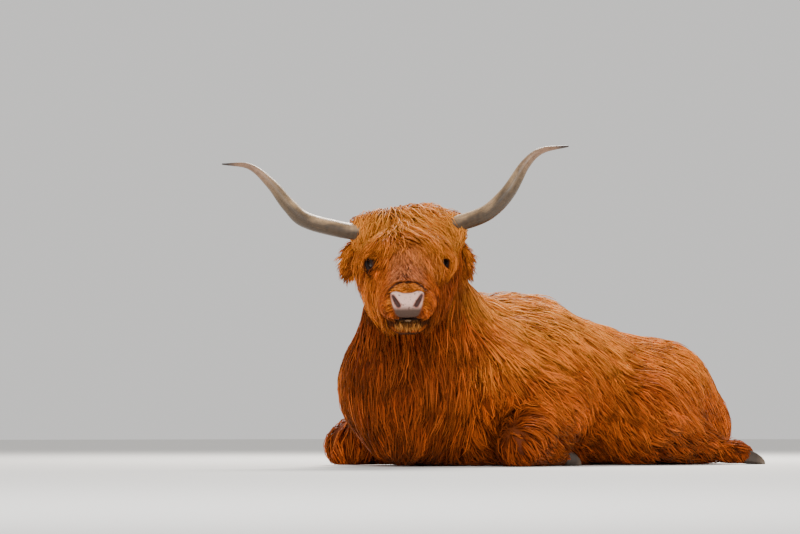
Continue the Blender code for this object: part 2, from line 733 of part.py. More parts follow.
def grow_paths(flesh, roots, lie, length, ride, cling, swing):
    """Walks from each root along the lie of the coat, at the ride's heights over the core."""
    points = flesh.settle(roots, ride[0])
    paths = [points]
    normals = [flesh.normals(points)]
    for index in range(1, len(ride)):
        gradient = normals[-1]
        way = lie(points)
        high = flesh.distance(points) - ride[index - 1]
        hold = np.clip(1.0 - high / 0.05, 0.0, 1.0)
        way = way - gradient * ((way * gradient).sum(axis=1) * hold)[:, None]
        aside = np.cross(way, gradient)
        way = way + aside * (swing * math.cos(index * 1.9))[:, None]
        way /= np.maximum(np.linalg.norm(way, axis=1), 1e-9)[:, None]
        points = points + way * (length * LOCK_STEPS[index - 1])[:, None]
        for _ in range(2):
            gradient = flesh.normals(points)
            miss = flesh.distance(points) - ride[index]
            points = points - gradient * np.where(miss < 0.0, miss, miss * cling)[:, None]
        points[:, 2] = np.maximum(points[:, 2], FLOOR_CLEAR)
        paths.append(points)
        normals.append(gradient)
    return np.stack(paths, axis=1), np.stack(normals, axis=1)


def lock_mesh(name, path, normals, width, ridge):
    """A flat lock: three-sided rings along its path, widest past its root, drawn to a point."""
    bm = bmesh.new()
    rings = []
    last = len(path) - 1
    for index in range(last):
        ahead = path[index + 1] - path[max(index - 1, 0)]
        side = np.cross(ahead, normals[index])
        side /= max(np.linalg.norm(side), 1e-9)
        half = side * (width * LOCK_WIDTHS[index] * 0.5)
        up = normals[index] * (ridge * LOCK_RIDGES[index])
        rings.append([bm.verts.new(Vector(path[index] - half - up * 0.35)),
                      bm.verts.new(Vector(path[index] + up * 0.65)),
                      bm.verts.new(Vector(path[index] + half - up * 0.35))])
    tip = bm.verts.new(Vector(path[last]))
    for first, second in zip(rings, rings[1:]):
        for corner in range(3):
            other = (corner + 1) % 3
            bm.faces.new((first[corner], first[other], second[other], second[corner]))
    for corner in range(3):
        bm.faces.new((rings[-1][corner], rings[-1][(corner + 1) % 3], tip))
    bm.faces.new(rings[0][::-1])
    bmesh.ops.triangulate(bm, faces=bm.faces)
    bmesh.ops.recalc_face_normals(bm, faces=bm.faces)
    mesh = bpy.data.meshes.new(name)
    bm.to_mesh(mesh)
    bm.free()
    return mesh


def collection(name):
    group = bpy.data.collections.new(name)
    bpy.context.scene.collection.children.link(group)
    return group


def add_locks(group, paths, normals, widths, ridges):
    """Adds locks to a collection, each a closed mesh object."""
    for index, path in enumerate(paths):
        mesh = lock_mesh(group.name, path, normals[index], widths[index], ridges[index])
        group.objects.link(bpy.data.objects.new(group.name, mesh))


def ramp(values, low, high):
    """0 at low, 1 at high, smooth between."""
    part = np.clip((values - low) / (high - low), 0.0, 1.0)
    return part * part * (3.0 - 2.0 * part)


def body_lie(points):
    """Down the neck and chest, down and back along the trunk."""
    back = ramp(points[:, 1], -0.05, 0.40) * (1.0 - 0.35 * ramp(points[:, 1], 1.15, 1.45))
    way = np.zeros_like(points)
    way[:, 1] = 0.72 * back
    way[:, 2] = -1.0 + 0.25 * back
    return way


def head_lie(points):
    """Over the poll and down the face, swept to the cow's left, and down the cheeks."""
    local = local_points(points, HEAD)
    crown = ramp(local[:, 2], -0.12, -0.03)
    over = crown * ramp(local[:, 1], -0.07, -0.01)
    sweep = crown * (0.75 * ramp(local[:, 0], -0.08, 0.02) - 0.45 * (1.0 - ramp(local[:, 0], -0.12, -0.05)))
    across = np.array(HEAD.to_3x3() @ Vector((1.0, 0.0, 0.0)))
    ahead = -0.20 + 0.55 * crown + 0.65 * over
    return (across * sweep[:, None] + np.array(HEAD_FORWARD) * ahead[:, None]
            + np.array([0.0, 0.0, -1.0]) * (1.0 - over)[:, None])


def locks_on(group, flesh, roots, lie, sizes, scale, rng):
    """Locks of one kind of coat, rooted where they fit among the given points."""
    spacing, length, width, ridge, ride = sizes
    ways = lie(roots)
    normals = flesh.normals(roots)
    ways -= normals * (ways * normals).sum(axis=1)[:, None]
    ways /= np.maximum(np.linalg.norm(ways, axis=1), 1e-9)[:, None]
    kept = spread(roots, spacing * scale, ways)
    roots, scale = roots[kept], scale[kept]
    count = len(roots)
    swing = rng.uniform(-0.28, 0.28, count)
    lengths = length * scale * rng.uniform(0.82, 1.18, count)
    paths, normals = grow_paths(flesh, roots, lie, lengths, ride, 0.6, swing)
    widths = width * scale * rng.uniform(0.8, 1.2, count)
    add_locks(group, paths, normals, widths, ridge * scale)


def body_locks(body, flesh, rng):
    """Long locks over the trunk, neck and upper legs, a little smaller on the legs."""
    spots, facing = surface_samples(body, 6000, rng)
    ahead = (spots - np.array(NAPE_POINT)) @ np.array(NAPE_NORMAL)
    usable = (spots[:, 2] > 0.06) & (facing[:, 2] > -0.70) & (ahead < -0.035)
    spots = spots[usable]
    leg = ramp(np.abs(spots[:, 0]), 0.22, 0.32) * (1.0 - ramp(spots[:, 2], 0.18, 0.30))
    group = collection("coat_lock")
    locks_on(group, flesh, spots, body_lie, COAT, 1.0 - 0.35 * leg, rng)
    return group


def clear_of_features(spots, local):
    """Which points stand clear of the eyes, the horns' roots, the nose and the mouth."""
    clear = (spots - np.array(NAPE_POINT)) @ np.array(NAPE_NORMAL) > 0.012
    for side in (1, -1):
        centre, axis, _, _ = eye_basis(side)
        clear &= np.linalg.norm(local - np.array(centre + axis * 0.012), axis=1) > 0.042
        root = np.array(FACE @ horn_point(side, 0))
        reach = np.array(FACE @ horn_point(side, 1)) - root
        along = np.clip((spots - root) @ reach / (reach @ reach), 0.0, 2.0)
        clear &= np.linalg.norm(spots - root - reach * along[:, None], axis=1) > 0.036
    return clear


def horn_point(side, index):
    x, y, z = HORN_ROUTES[side][index]
    return Vector((side * x, y, z))


def head_locks(head, flesh, rng):
    """Forelock, the shorter hair between and beside the eyes, cheeks and beard."""
    spots, facing = surface_samples(head, 8000, rng)
    local = local_points(spots, HEAD)
    clear = clear_of_features(spots, local)
    along, high = local[:, 1], local[:, 2]
    beside = np.abs(local[:, 0])
    kinds = (
        (FORELOCK, clear & (high > -0.075) & (along > -0.10)),
        (FRINGE, clear & (high > -0.060) & (along < -0.10) & (along > -0.25) & (beside < 0.09)),
        (CHEEK, clear & (high < -0.070) & (along > -0.27) & (beside > 0.05)),
        (BEARD, (high < -0.165) & (along < -0.27) & (along > -0.42) & (facing[:, 2] < 0.3)),
    )
    group = collection("head_lock")
    for sizes, chosen in kinds:
        locks_on(group, flesh, spots[chosen], head_lie, sizes, np.ones(int(chosen.sum())), rng)
    return group


def ear_locks(name, side, rng, count=4):
    """The fringe that hangs from an ear's lower edge and tip."""
    root = Vector((side * EAR_ROOT[0], EAR_ROOT[1], EAR_ROOT[2]))
    tip = Vector((side * EAR_TIP[0], EAR_TIP[1], EAR_TIP[2]))
    paths = []
    normals = []
    for index in range(count):
        along = 0.30 + 0.62 * index / (count - 1)
        start = root.lerp(tip, along) + Vector((0.0, 0.004 * (-1) ** index, 0.0))
        fall = Vector((side * rng.uniform(-0.15, 0.35), rng.uniform(-0.25, 0.15), -1.0)).normalized()
        length = EAR_LOCK[0] * rng.uniform(0.75, 1.15)
        bend = Vector((side * rng.uniform(-0.2, 0.3), 0.0, 0.0))
        path = []
        done = 0.0
        for step in (0.0,) + LOCK_STEPS:
            done += step
            path.append(np.array(FACE @ (start + fall * (length * done) + bend * (length * done * done))))
        paths.append(np.array(path))
        normals.append(np.tile(np.array(FACE.to_3x3() @ Vector((0.0, -1.0, 0.1))), (len(path), 1)))
    group = collection(name)
    add_locks(group, paths, normals, np.full(count, EAR_LOCK[1]), np.full(count, EAR_LOCK[2]))
    return group


def switch_locks(rng, count=5):
    """The long hairs of the tail's tuft, fanned along the floor."""
    points = smooth_route([Vector(point) for point in SWITCH_ROUTE], 24)
    paths = []
    normals = []
    for index in range(count):
        first = int(rng.integers(1, 12))
        aside = rng.uniform(-1.0, 1.0)
        high = rng.uniform(0.2, 1.0) * (1.0 - 0.5 * abs(aside))
        path = []
        done = 0.0
        for step in (0.0,) + LOCK_STEPS:
            done += step
            spot = points[min(23, first + int(done * 12))]
            open_out = 0.012 + 0.030 * math.sin(math.pi * min(1.0, 0.15 + done * 0.7))
            path.append(np.array([spot.x - 0.02 * done, spot.y + aside * open_out,
                                  max(FLOOR_CLEAR, spot.z + high * open_out * (1.0 - 0.8 * done))]))
        paths.append(np.array(path))
        normals.append(np.tile(np.array([0.0, 0.35 * aside, 0.94]), (len(path), 1)))
    group = collection("switch_lock")
    add_locks(group, paths, normals, np.full(count, SWITCH_LOCK[0]), np.full(count, SWITCH_LOCK[1]))
    return group


def material(name, colour, roughness):
    made = bpy.data.materials.new(name)
    made.use_nodes = True
    shader = made.node_tree.nodes["Principled BSDF"]
    shader.inputs["Base Color"].default_value = (*colour, 1.0)
    shader.inputs["Roughness"].default_value = roughness
    shader.inputs["Metallic"].default_value = 0.0
    return made


def joined(thing, locks):
    """Fuses a collection of locks to the node they grow from and removes them."""
    boolean(thing, "UNION", locks)
    removed(locks)
    return thing


def removed(group):
    for piece in list(group.objects):
        bpy.data.objects.remove(piece)
    bpy.data.collections.remove(group)


def within(thing, planes):
    """Keeps the part of an object that lies in a cell."""
    block = cell(planes)
    boolean(thing, "INTERSECT", block)
    bpy.data.objects.remove(block)
    keep_largest(thing)
    return thing


def place_on_origin(things):
    """Moves all meshes so that the cow's bounding box stands centred on the origin."""
    low = np.min([coordinates(thing.data).min(axis=0) for thing in things], axis=0)
    high = np.max([coordinates(thing.data).max(axis=0) for thing in things], axis=0)
    shift = Vector((-(low[0] + high[0]) / 2, -(low[1] + high[1]) / 2, 0.0))
    for thing in things:
        thing.data.transform(Matrix.Translation(shift))


def main():
    for thing in list(bpy.data.objects):
        bpy.data.objects.remove(thing)

    body_groups = [(torso_masses() + neck_masses() + leg_masses(), None)]
    head_group = (head_masses() + lid_masses(), HEAD)
    face = Flesh(body_groups + [head_group], FACE_DEPTH)
    whole = Flesh(body_groups + [head_group], CORE_DEPTH)

    body = flesh_object("barrel", whole, body_groups + [head_group], BODY_VOXEL, BODY_FACES)
    head = flesh_object("head", face, [(neck_masses(), None), head_group], HEAD_VOXEL, HEAD_FACES)
    rng = np.random.default_rng(SEED)
    coat = body_locks(body, whole, rng)
    tresses = head_locks(head, face, rng)
    joined(body, coat)
    joined(head, tresses)
    within(body, [(NAPE_POINT - NAPE_NORMAL * GAP, -NAPE_NORMAL)] + FLOOR_PLANE)
    within(head, [(NAPE_POINT, NAPE_NORMAL)])
    scooped(head, head_hollows(), HEAD)

    horns = [make_horn("horn_L", 1, HORN_ROUTES[1]), make_horn("horn_R", -1, HORN_ROUTES[-1])]
    ears = [make_ear("ear_L", 1), make_ear("ear_R", -1)]
    eyes = [make_eye("eye_L", 1), make_eye("eye_R", -1)]
    horn_cutters = [grown(horn) for horn in horns]
    ear_cutters = [grown(ear) for ear in ears]
    eye_cutters = [grown(eye) for eye in eyes]
    for ear, side in zip(ears, (1, -1)):
        fringe = ear_locks(ear.name + "_lock", side, rng)
        ear_cutters += [grown(lock) for lock in fringe.objects]
        joined(ear, fringe)
        carved(ear, horn_cutters)
    carved(head, horn_cutters + ear_cutters + eye_cutters)
    carved(body, horn_cutters + ear_cutters)

    nose = part_off(head, "nose_pad", [in_frame(HEAD, (0.0, -0.462, 0.0), (0.0, -1.0, 0.0)),
                                       in_frame(HEAD, (0.0, 0.0, -0.117), (0.0, 0.0, 1.0)),
                                       in_frame(HEAD, (0.060, 0.0, 0.0), (-1.0, 0.0, 0.0)),
                                       in_frame(HEAD, (-0.060, 0.0, 0.0), (1.0, 0.0, 0.0))])
    jaw = part_off(head, "jaw", [in_frame(HEAD, (0.0, -0.33, -0.127), (0.0, 0.0, -1.0)),
                                 in_frame(HEAD, (0.0, -0.20, -0.15), (0.0, -1.0, -0.35))])
    tongue = make_tongue()
    tongue_cutter = grown(tongue)
    carved(head, [tongue_cutter])
    carved(jaw, [tongue_cutter])

    tail = make_tail()
    switch = make_switch()
    cutters = [grown(tail), grown(switch)]
    tuft = switch_locks(rng)
    cutters += [grown(lock) for lock in tuft.objects]
    joined(switch, tuft)
    carved(switch, cutters[:1])
    shanks = []
    claws = []
    for name in SHANKS:
        shank = make_shank(name)
        pair = make_claws(name)
        pair_cutters = [grown(claw) for claw in pair]
        cutters += [grown(shank)] + pair_cutters
        carved(pair[1], pair_cutters[:1])
        carved(shank, pair_cutters)
        shanks.append(shank)
        claws += pair
    for thing in [tail, switch] + shanks + claws:
        within(thing, FLOOR_PLANE)
    carved(body, cutters)
    for cutter in horn_cutters + ear_cutters + eye_cutters + [tongue_cutter] + cutters:
        bpy.data.objects.remove(cutter)

    neck = part_off(body, "neck", [NECK_PLANE])
    legs = [part_off(body, name, planes) for name, planes in LEG_CELLS.items()]
    chest = part_off(body, "chest", [((0.0, SHOULDER_LINE, 0.0), (0.0, -1.0, 0.0))])
    rump = part_off(body, "rump", [((0.0, LOIN_LINE, 0.0), (0.0, 1.0, 0.0))])

    coated = [head, jaw, neck, chest, body, rump, tail, switch] + legs + ears + shanks
    finishes = (("coat", (0.45, 0.16, 0.045), 0.75, coated),
                ("horn", (0.55, 0.47, 0.36), 0.45, horns),
                ("eye", (0.02, 0.012, 0.008), 0.12, eyes),
                ("muzzle", (0.62, 0.43, 0.38), 0.5, [nose]),
                ("tongue", (0.50, 0.33, 0.28), 0.45, [tongue]),
                ("hoof", (0.12, 0.10, 0.08), 0.55, claws))
    things = []
    for name, colour, roughness, group in finishes:
        finish = material(name, colour, roughness)
        for thing in group:
            keep_largest(thing)
            thing.data.shade_smooth()
            thing.data.set_sharp_from_angle(angle=SHARP_ANGLE)
            thing.data.materials.clear()
            thing.data.materials.append(finish)
            things.append(thing)
    place_on_origin(things)


main()
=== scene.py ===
"""Looks of a highland cow lying down: one skin, a coat of tufts, horns, eyes, ears, nose and hooves.

Metres, +Z up. Every shape is made in the cow's own frame, from the same named masses and routes as
the solids, and moved into the row's frame at the end by SHIFT.
"""

import math

import bmesh
import bpy
import numpy as np
from mathutils import Matrix, Vector
from mathutils.kdtree import KDTree


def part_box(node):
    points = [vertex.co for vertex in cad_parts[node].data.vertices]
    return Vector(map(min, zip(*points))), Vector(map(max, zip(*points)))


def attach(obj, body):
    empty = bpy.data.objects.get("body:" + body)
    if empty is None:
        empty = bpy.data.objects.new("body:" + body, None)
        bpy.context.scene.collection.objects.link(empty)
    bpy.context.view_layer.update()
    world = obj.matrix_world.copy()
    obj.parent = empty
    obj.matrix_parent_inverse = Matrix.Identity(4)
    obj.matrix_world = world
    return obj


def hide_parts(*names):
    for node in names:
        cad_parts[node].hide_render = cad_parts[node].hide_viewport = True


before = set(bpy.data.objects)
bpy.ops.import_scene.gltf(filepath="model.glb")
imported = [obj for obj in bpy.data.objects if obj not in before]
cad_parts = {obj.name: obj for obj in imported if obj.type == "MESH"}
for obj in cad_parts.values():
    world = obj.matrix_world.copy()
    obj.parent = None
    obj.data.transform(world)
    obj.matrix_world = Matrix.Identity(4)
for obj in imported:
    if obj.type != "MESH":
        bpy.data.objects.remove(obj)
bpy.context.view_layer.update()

SEED = 21
BODY_VOXEL = 0.009
HEAD_VOXEL = 0.0032
HEAD_FINE_VOXEL = 0.0026      # once the head's hollows are cut
TONGUE_VOXEL = 0.0018
SKIN_FLOOR = 0.0015           # height of the skin's flat underside
TUFT_FLOOR = 0.003            # the lowest that a tuft's line runs

# Head frame: origin on top of the poll, -Y along the face, +X to the cow's left.
POLL = Vector((0.178, -0.161, 0.867))
HEAD_TURN = math.radians(48.0)
HEAD_PITCH = math.radians(37.0)
HEAD_ROLL = math.radians(1.5)
HEAD = (Matrix.Translation(POLL) @ Matrix.Rotation(HEAD_TURN, 4, "Z")
        @ Matrix.Rotation(HEAD_PITCH, 4, "X") @ Matrix.Rotation(-HEAD_ROLL, 4, "Y"))

# Face frame: upright, origin between the horns' roots, +X to the cow's left, -Y out of the face.
HORN_LINE = Vector((0.178, -0.161, 0.828))
FACE = Matrix.Translation(HORN_LINE) @ Matrix.Rotation(HEAD_TURN, 4, "Z")

EYE_RADIUS = 0.019
EYE_AT = (0.116, -0.212, -0.056)
EYE_AXIS = (0.70, -0.55, 0.46)
WITHERS = 0.60                # height of the flesh at the withers, lying
HEAD_FORWARD = Vector((math.sin(HEAD_TURN), -math.cos(HEAD_TURN), 0.0))
NAPE_POINT = Vector((0.0, 0.0, 0.86)) + HEAD_FORWARD * 0.125
NAPE_NORMAL = (HEAD_FORWARD + Vector((0.0, 0.0, 0.333))).normalized()

# Lower legs: hock or knee, fetlock, the hoof's coronet, and the bone's radius with its short hair.
SHANKS = {
    "fore_shank_L": ((0.355, 0.215, 0.040), (0.318, 0.400, 0.042), (0.308, 0.470, 0.036), 0.034),
    "fore_shank_R": ((-0.366, 0.075, 0.040), (-0.325, 0.260, 0.042), (-0.314, 0.330, 0.036), 0.034),
    "hind_shank_L": ((0.330, 1.150, 0.070), (0.400, 1.290, 0.044), (0.412, 1.325, 0.038), 0.036),
    "hind_shank_R": ((-0.355, 1.150, 0.060), (-0.425, 0.965, 0.044), (-0.436, 0.920, 0.038), 0.036),
}

# The tail from its dock to the end of its tuft.
TAIL_ROUTE = ((0.0, 1.36, 0.290), (0.0, 1.48, 0.270), (-0.01, 1.555, 0.190), (-0.02, 1.590, 0.100),
              (-0.06, 1.620, 0.042), (-0.16, 1.640, 0.034))
SWITCH_ROUTE = ((-0.155, 1.640, 0.034), (-0.26, 1.625, 0.040), (-0.38, 1.580, 0.030),
                (-0.535, 1.480, 0.012))
TAIL_RADIUS = 0.028
TAIL_TAPER = 0.0011           # from each of its parts to the next
SWITCH_RINGS = 14
SWITCH_RADIUS = 0.014
SWITCH_POINTS = 60            # on its route, for the way its hairs run

# Horns in the face frame, +X outwards; 1 is the cow's left.
HORN_ROUTES = {
    1: ((0.105, 0.0, -0.004), (0.179, -0.012, 0.014), (0.276, -0.045, 0.048), (0.348, -0.065, 0.116),
        (0.409, -0.070, 0.214), (0.466, -0.065, 0.262), (0.559, -0.045, 0.279)),
    -1: ((0.105, 0.0, -0.012), (0.183, -0.012, -0.0155), (0.340, -0.045, 0.019), (0.404, -0.060, 0.069),
         (0.467, -0.070, 0.145), (0.541, -0.065, 0.206), (0.638, -0.045, 0.217)),
}
HORN_RADIUS = 0.0285
HORN_EVEN = 0.42              # share of the horn's length before it tapers
HORN_RINGS = 110
HORN_SIDES = 36

# Ears in the face frame, +X outwards.
EAR_ROOT = (0.132, 0.045, -0.035)
EAR_TIP = (0.212, 0.058, -0.160)
EAR_STEPS = 26
EAR_SPANS = 16

# The nape's plane and the main directions.
UP = Vector((0.0, 0.0, 1.0))
NAPE = np.array(NAPE_POINT)
NAPE_WAY = np.array(NAPE_NORMAL)
AHEAD = np.array(HEAD_FORWARD)
ACROSS = np.array(HEAD.to_3x3() @ Vector((1.0, 0.0, 0.0)))
DOWN = np.array([0.0, 0.0, -1.0])

# The nose's leather, the mouth and the eyes in the head's frame.
PAD_TOP = -0.444              # along the face, where the nose's leather begins at its corners
PAD_DIP = 0.012               # how much further down it begins in the middle
PAD_HALF = 0.056              # half its width at the top; it narrows downwards
PAD_NARROW = 0.24
PAD_LOW = -0.104              # height of its lower edge
PAD_ROUND = 0.034             # over this height its lower corners are rounded
PAD_LIFT = 0.0007             # of its sheet over the skin
PAD_SINK = -0.0006            # of the sheet's rim
PAD_THICK = 0.0016
GAPE_HALF = 0.046             # half the width between the lips that is kept free of hair
GAPE_AT = -0.124
EYE_OPEN = np.array((0.0, -0.80, 0.60))     # the way in the head's frame that the fringe parts
EYE_CLEAR = {1: 0.0150, -1: 0.0190}         # radius kept free of hair before each eye
EYE_REACH = 0.085             # how far before an eye no hair hangs
EYE_FRONT = 0.014             # from the eyeball's centre to the middle of what is seen of it
BROW = (-0.102, -0.212, -0.028)             # middle of the dark patch over the right eye

# Claws, each shape with its share of the length and width, and its top's height from the middle.
HOOF_LENGTH = 0.082
HOOF_HEIGHT = 0.050
CLAW_SHAPE = ((-0.15, 0.80, 0.42), (0.15, 1.0, 0.50), (0.45, 0.98, 0.36), (0.75, 0.80, 0.12),
              (0.93, 0.50, -0.12), (1.0, 0.22, -0.30))
CLAW_RINGS = 25
CLAW_SIDES = 20
CLAW_FLOOR = 0.0005           # the lowest that a claw reaches

# Colours of the coat and the bare parts, linear.
GOLD = (0.88, 0.33, 0.050)
LIGHT = (0.70, 0.205, 0.024)
RUST = (0.44, 0.086, 0.009)
PINK = (0.50, 0.155, 0.062)
DEEP = (0.16, 0.024, 0.0035)
SOOT = (0.018, 0.006, 0.004)
TAN = (0.50, 0.20, 0.045)
LEATHER = (0.74, 0.46, 0.375)
NOSTRIL_RIM = (0.40, 0.125, 0.090)
LEATHER_LOW = (0.036, 0.018, 0.010)
MOUTH = (0.020, 0.008, 0.007)
NOSTRIL = (0.020, 0.006, 0.005)
LIDS = (0.02, 0.012, 0.01)
EYE_WHITE = (0.030, 0.014, 0.010)
IRIS = (0.040, 0.014, 0.006)
PUPIL = (0.002, 0.002, 0.002)
EAR_INSIDE = (0.10, 0.04, 0.025)
IVORY = (0.47, 0.30, 0.155)
OLIVE = (0.026, 0.014, 0.006)
ROSE = (0.26, 0.13, 0.085)
TIP = (0.045, 0.032, 0.028)
CLAW_HEEL = (0.10, 0.060, 0.036)
CLAW_TOE = (0.45, 0.31, 0.19)
CLAW_DARK = 0.42
SKIN_PAINTED_SHADE = 0.40             # painted shade: how much darker the skin is under the coat

# Tufts: rings and a tip, with each one's height over the flesh and each ring's width.
STEPS = 4
ALONG = np.linspace(0.0, 1.0, STEPS + 1)
RIDE = np.array([-0.10, 0.55, 0.86, 1.00, 0.98])
RING_WIDTH = np.array([0.55, 1.00, 0.88, 0.52])
RING_HEIGHT = 0.34            # thickness of a tuft as a share of its width
LOCK_REACH = 0.09             # shorter tufts than this gather less
TRIM_STEPS = 3                # how finely a tuft is searched for where it has to end
LOCK_SPREAD = 0.24            # how much locks, tufts and their warmth differ in colour
TUFT_SPREAD = 0.28
WARM_SPREAD = 0.05
BRIGHTEST = 0.90
PIECE_TUFTS = 8800
BODY_TUFTS = 40000
HEAD_TUFTS = 21500
EAR_TUFTS = 1700
SWITCH_TUFTS = 1500

# Camera, looking from the cow's front left.
CAMERA_TURN = math.radians(48.0)
CAMERA_PITCH = math.radians(3.35)
CAMERA_DISTANCE = 10.0
CAMERA_ASIDE = -0.024
CAMERA_HEIGHT = 0.12
CAMERA_LENS = 127.0

# The solids that the one skin stands for.
FLESH_NODES = ("head", "jaw", "nose_pad", "neck", "chest", "barrel", "rump", "tail", "foreleg_L",
               "foreleg_R", "thigh_L", "thigh_R") + tuple(SHANKS)


def mass(start, end, radius, end_radius, squash=(1.0, 1.0, 1.0), blend=0.06):
    """One mass of flesh: a capsule between two centres, with its radii scaled along X, Y and Z."""
    return (np.array(start), np.array(end), radius, end_radius, np.array(squash), blend)


def both_sides(start, end, *measures, **named):
    """The same mass on the left and on the right."""
    return [mass((side * start[0], *start[1:]), (side * end[0], *end[1:]), *measures, **named)
            for side in (1, -1)]


def torso_masses():
    """Trunk with its belly, shoulders and hips."""
    masses = [
        mass((0.0, 0.005, 0.285), (0.0, 0.52, 0.325), 0.215, 0.262),
        mass((0.0, 0.24, WITHERS - 0.10), (0.0, 0.64, WITHERS - 0.095), 0.09, 0.085),
        mass((0.0, 0.58, 0.288), (0.0, 1.02, 0.245), 0.275, 0.225, (1.15, 1.0, 1.0)),
        mass((0.0, 1.02, 0.230), (0.0, 1.34, 0.195), 0.205, 0.165, (1.12, 1.0, 1.0)),
        mass((0.0, 0.60, 0.475), (0.0, 1.34, 0.280), 0.070, 0.065),
        mass((0.05, -0.05, 0.17), (0.0, 0.30, 0.14), 0.125, 0.140),
        mass((0.0, 0.25, 0.150), (0.0, 1.15, 0.140), 0.152, 0.150, (1.3, 1.0, 1.0)),
    ]
    masses += both_sides((0.15, 0.14, 0.36), (0.25, 0.46, 0.20), 0.115, 0.105)
    masses += both_sides((0.17, 1.05, 0.300), (0.10, 1.36, 0.215), 0.080, 0.080)
    masses += both_sides((0.12, 1.20, 0.13), (0.125, 1.36, 0.140), 0.130, 0.128)
    return masses


def neck_masses():
    """Neck and throat."""
    return [
        mass((0.0, 0.16, 0.42), (0.105, -0.085, 0.675), 0.195, 0.122),
        mass((0.065, -0.085, 0.50), (0.045, -0.075, 0.26), 0.110, 0.120),
    ]


def leg_masses():
    """Upper legs only: forearms folded out to the knees, and thighs down to the hocks."""
    return [
        mass((0.235, 0.47, 0.180), (0.360, 0.20, 0.076), 0.112, 0.068, blend=0.04),
        mass((-0.235, 0.35, 0.180), (-0.372, 0.060, 0.080), 0.115, 0.075, blend=0.04),
        mass((0.13, 1.20, 0.28), (0.280, 0.90, 0.190), 0.155, 0.125, blend=0.09),
        mass((-0.13, 1.20, 0.27), (-0.285, 0.90, 0.180), 0.155, 0.125, blend=0.09),
        mass((0.280, 0.90, 0.145), (0.325, 1.15, 0.078), 0.125, 0.068, blend=0.05),
        mass((-0.285, 0.90, 0.145), (-0.345, 1.15, 0.076), 0.125, 0.066, blend=0.05),
    ]


def head_masses():
    """Skull and cheeks in the head frame; the lower jaw is part of the same flesh."""
    masses = [
        mass((0.0, -0.045, -0.085), (0.0, -0.20, -0.080), 0.082, 0.080, (1.28, 1.0, 1.0), 0.03),
        mass((-0.085, 0.0, -0.045), (0.085, 0.0, -0.045), 0.046, 0.046, blend=0.03),
        mass((0.0, -0.20, -0.070), (0.0, -0.415, -0.060), 0.064, 0.049, (1.05, 1.0, 1.0), 0.04),
        mass((-0.034, -0.435, -0.062), (0.034, -0.435, -0.062), 0.050, 0.050, blend=0.03),
        mass((0.0, -0.19, -0.185), (0.0, -0.385, -0.158), 0.050, 0.032, (1.25, 1.0, 1.0), 0.02),
        mass((-0.022, -0.400, -0.163), (0.022, -0.400, -0.163), 0.038, 0.038, blend=0.02),
    ]
    masses += both_sides((0.088, -0.185, -0.055), (0.084, -0.215, -0.072), 0.042, 0.040, blend=0.025)
    masses += both_sides((0.055, -0.10, -0.135), (0.045, -0.24, -0.160), 0.078, 0.052, blend=0.04)
    masses += both_sides((0.045, -0.24, -0.105), (0.036, -0.38, -0.088), 0.056, 0.044, blend=0.03)
    masses += both_sides((0.115, -0.012, -0.052), (0.150, 0.0, -0.050), 0.042, 0.036, blend=0.02)
    return masses


def eye_basis(side):
    """Centre of an eye, the way it looks, and the directions along and across its lids."""
    centre = Vector((side * EYE_AT[0], EYE_AT[1], EYE_AT[2]))
    axis = Vector((side * EYE_AXIS[0], EYE_AXIS[1], EYE_AXIS[2])).normalized()
    along = Vector((0.0, -1.0, -0.15))
    along = (along - axis * along.dot(axis)).normalized()
    across = axis.cross(along) * -side
    return centre, axis, along, across


def head_hollows():
    """What is scooped out of the head: the slits of the eyes, nostrils and the open mouth."""
    hollows = []
    for side in (1, -1):
        centre, axis, along, _ = eye_basis(side)
        front = centre + axis * 0.030
        hollows.append(mass(front - along * 0.0085, front + along * 0.0095, 0.0135, 0.0120))
    hollows += both_sides((0.049, -0.460, -0.018), (0.030, -0.485, -0.042), 0.0048, 0.0085)
    hollows.append(mass((0.0, -0.37, -0.127), (0.0, -0.54, -0.125), 0.0070, 0.0150, (3.2, 1.0, 1.0)))
    return hollows


def lid_masses():
    """Upper and lower lids as short arcs round each eye, in the head frame."""
    lids = []
    for side in (1, -1):
        centre, axis, along, across = eye_basis(side)
        for bow in (1, -1):
            points = []
            for step in range(4):
                angle = math.radians(-75 + step * 50)
                points.append(centre + axis * (0.0165 + 0.002 * math.cos(angle))
                              + along * (0.0215 * math.sin(angle))
                              + across * (bow * (0.003 + 0.0125 * math.cos(angle))))
            for first, second in zip(points, points[1:]):
                lids.append(mass(first, second, 0.0050, 0.0050, blend=0.008))
    return lids


def capsule_distance(points, start, end, radius, end_radius, squash):
    """Distance of points from a mass, negative inside."""
    scaled = points / squash
    first = start / squash
    axis = end / squash - first
    along = np.clip((scaled - first) @ axis / max(axis @ axis, 1e-12), 0.0, 1.0)
    nearest = first + along[:, None] * axis
    reach = radius + (end_radius - radius) * along
    return (np.linalg.norm(scaled - nearest, axis=1) - reach) * squash.min()


def local_points(points, frame_of):
    """Points in a frame's own coordinates."""
    inverse = np.array(frame_of.inverted())
    return points @ inverse[:3, :3].T + inverse[:3, 3]


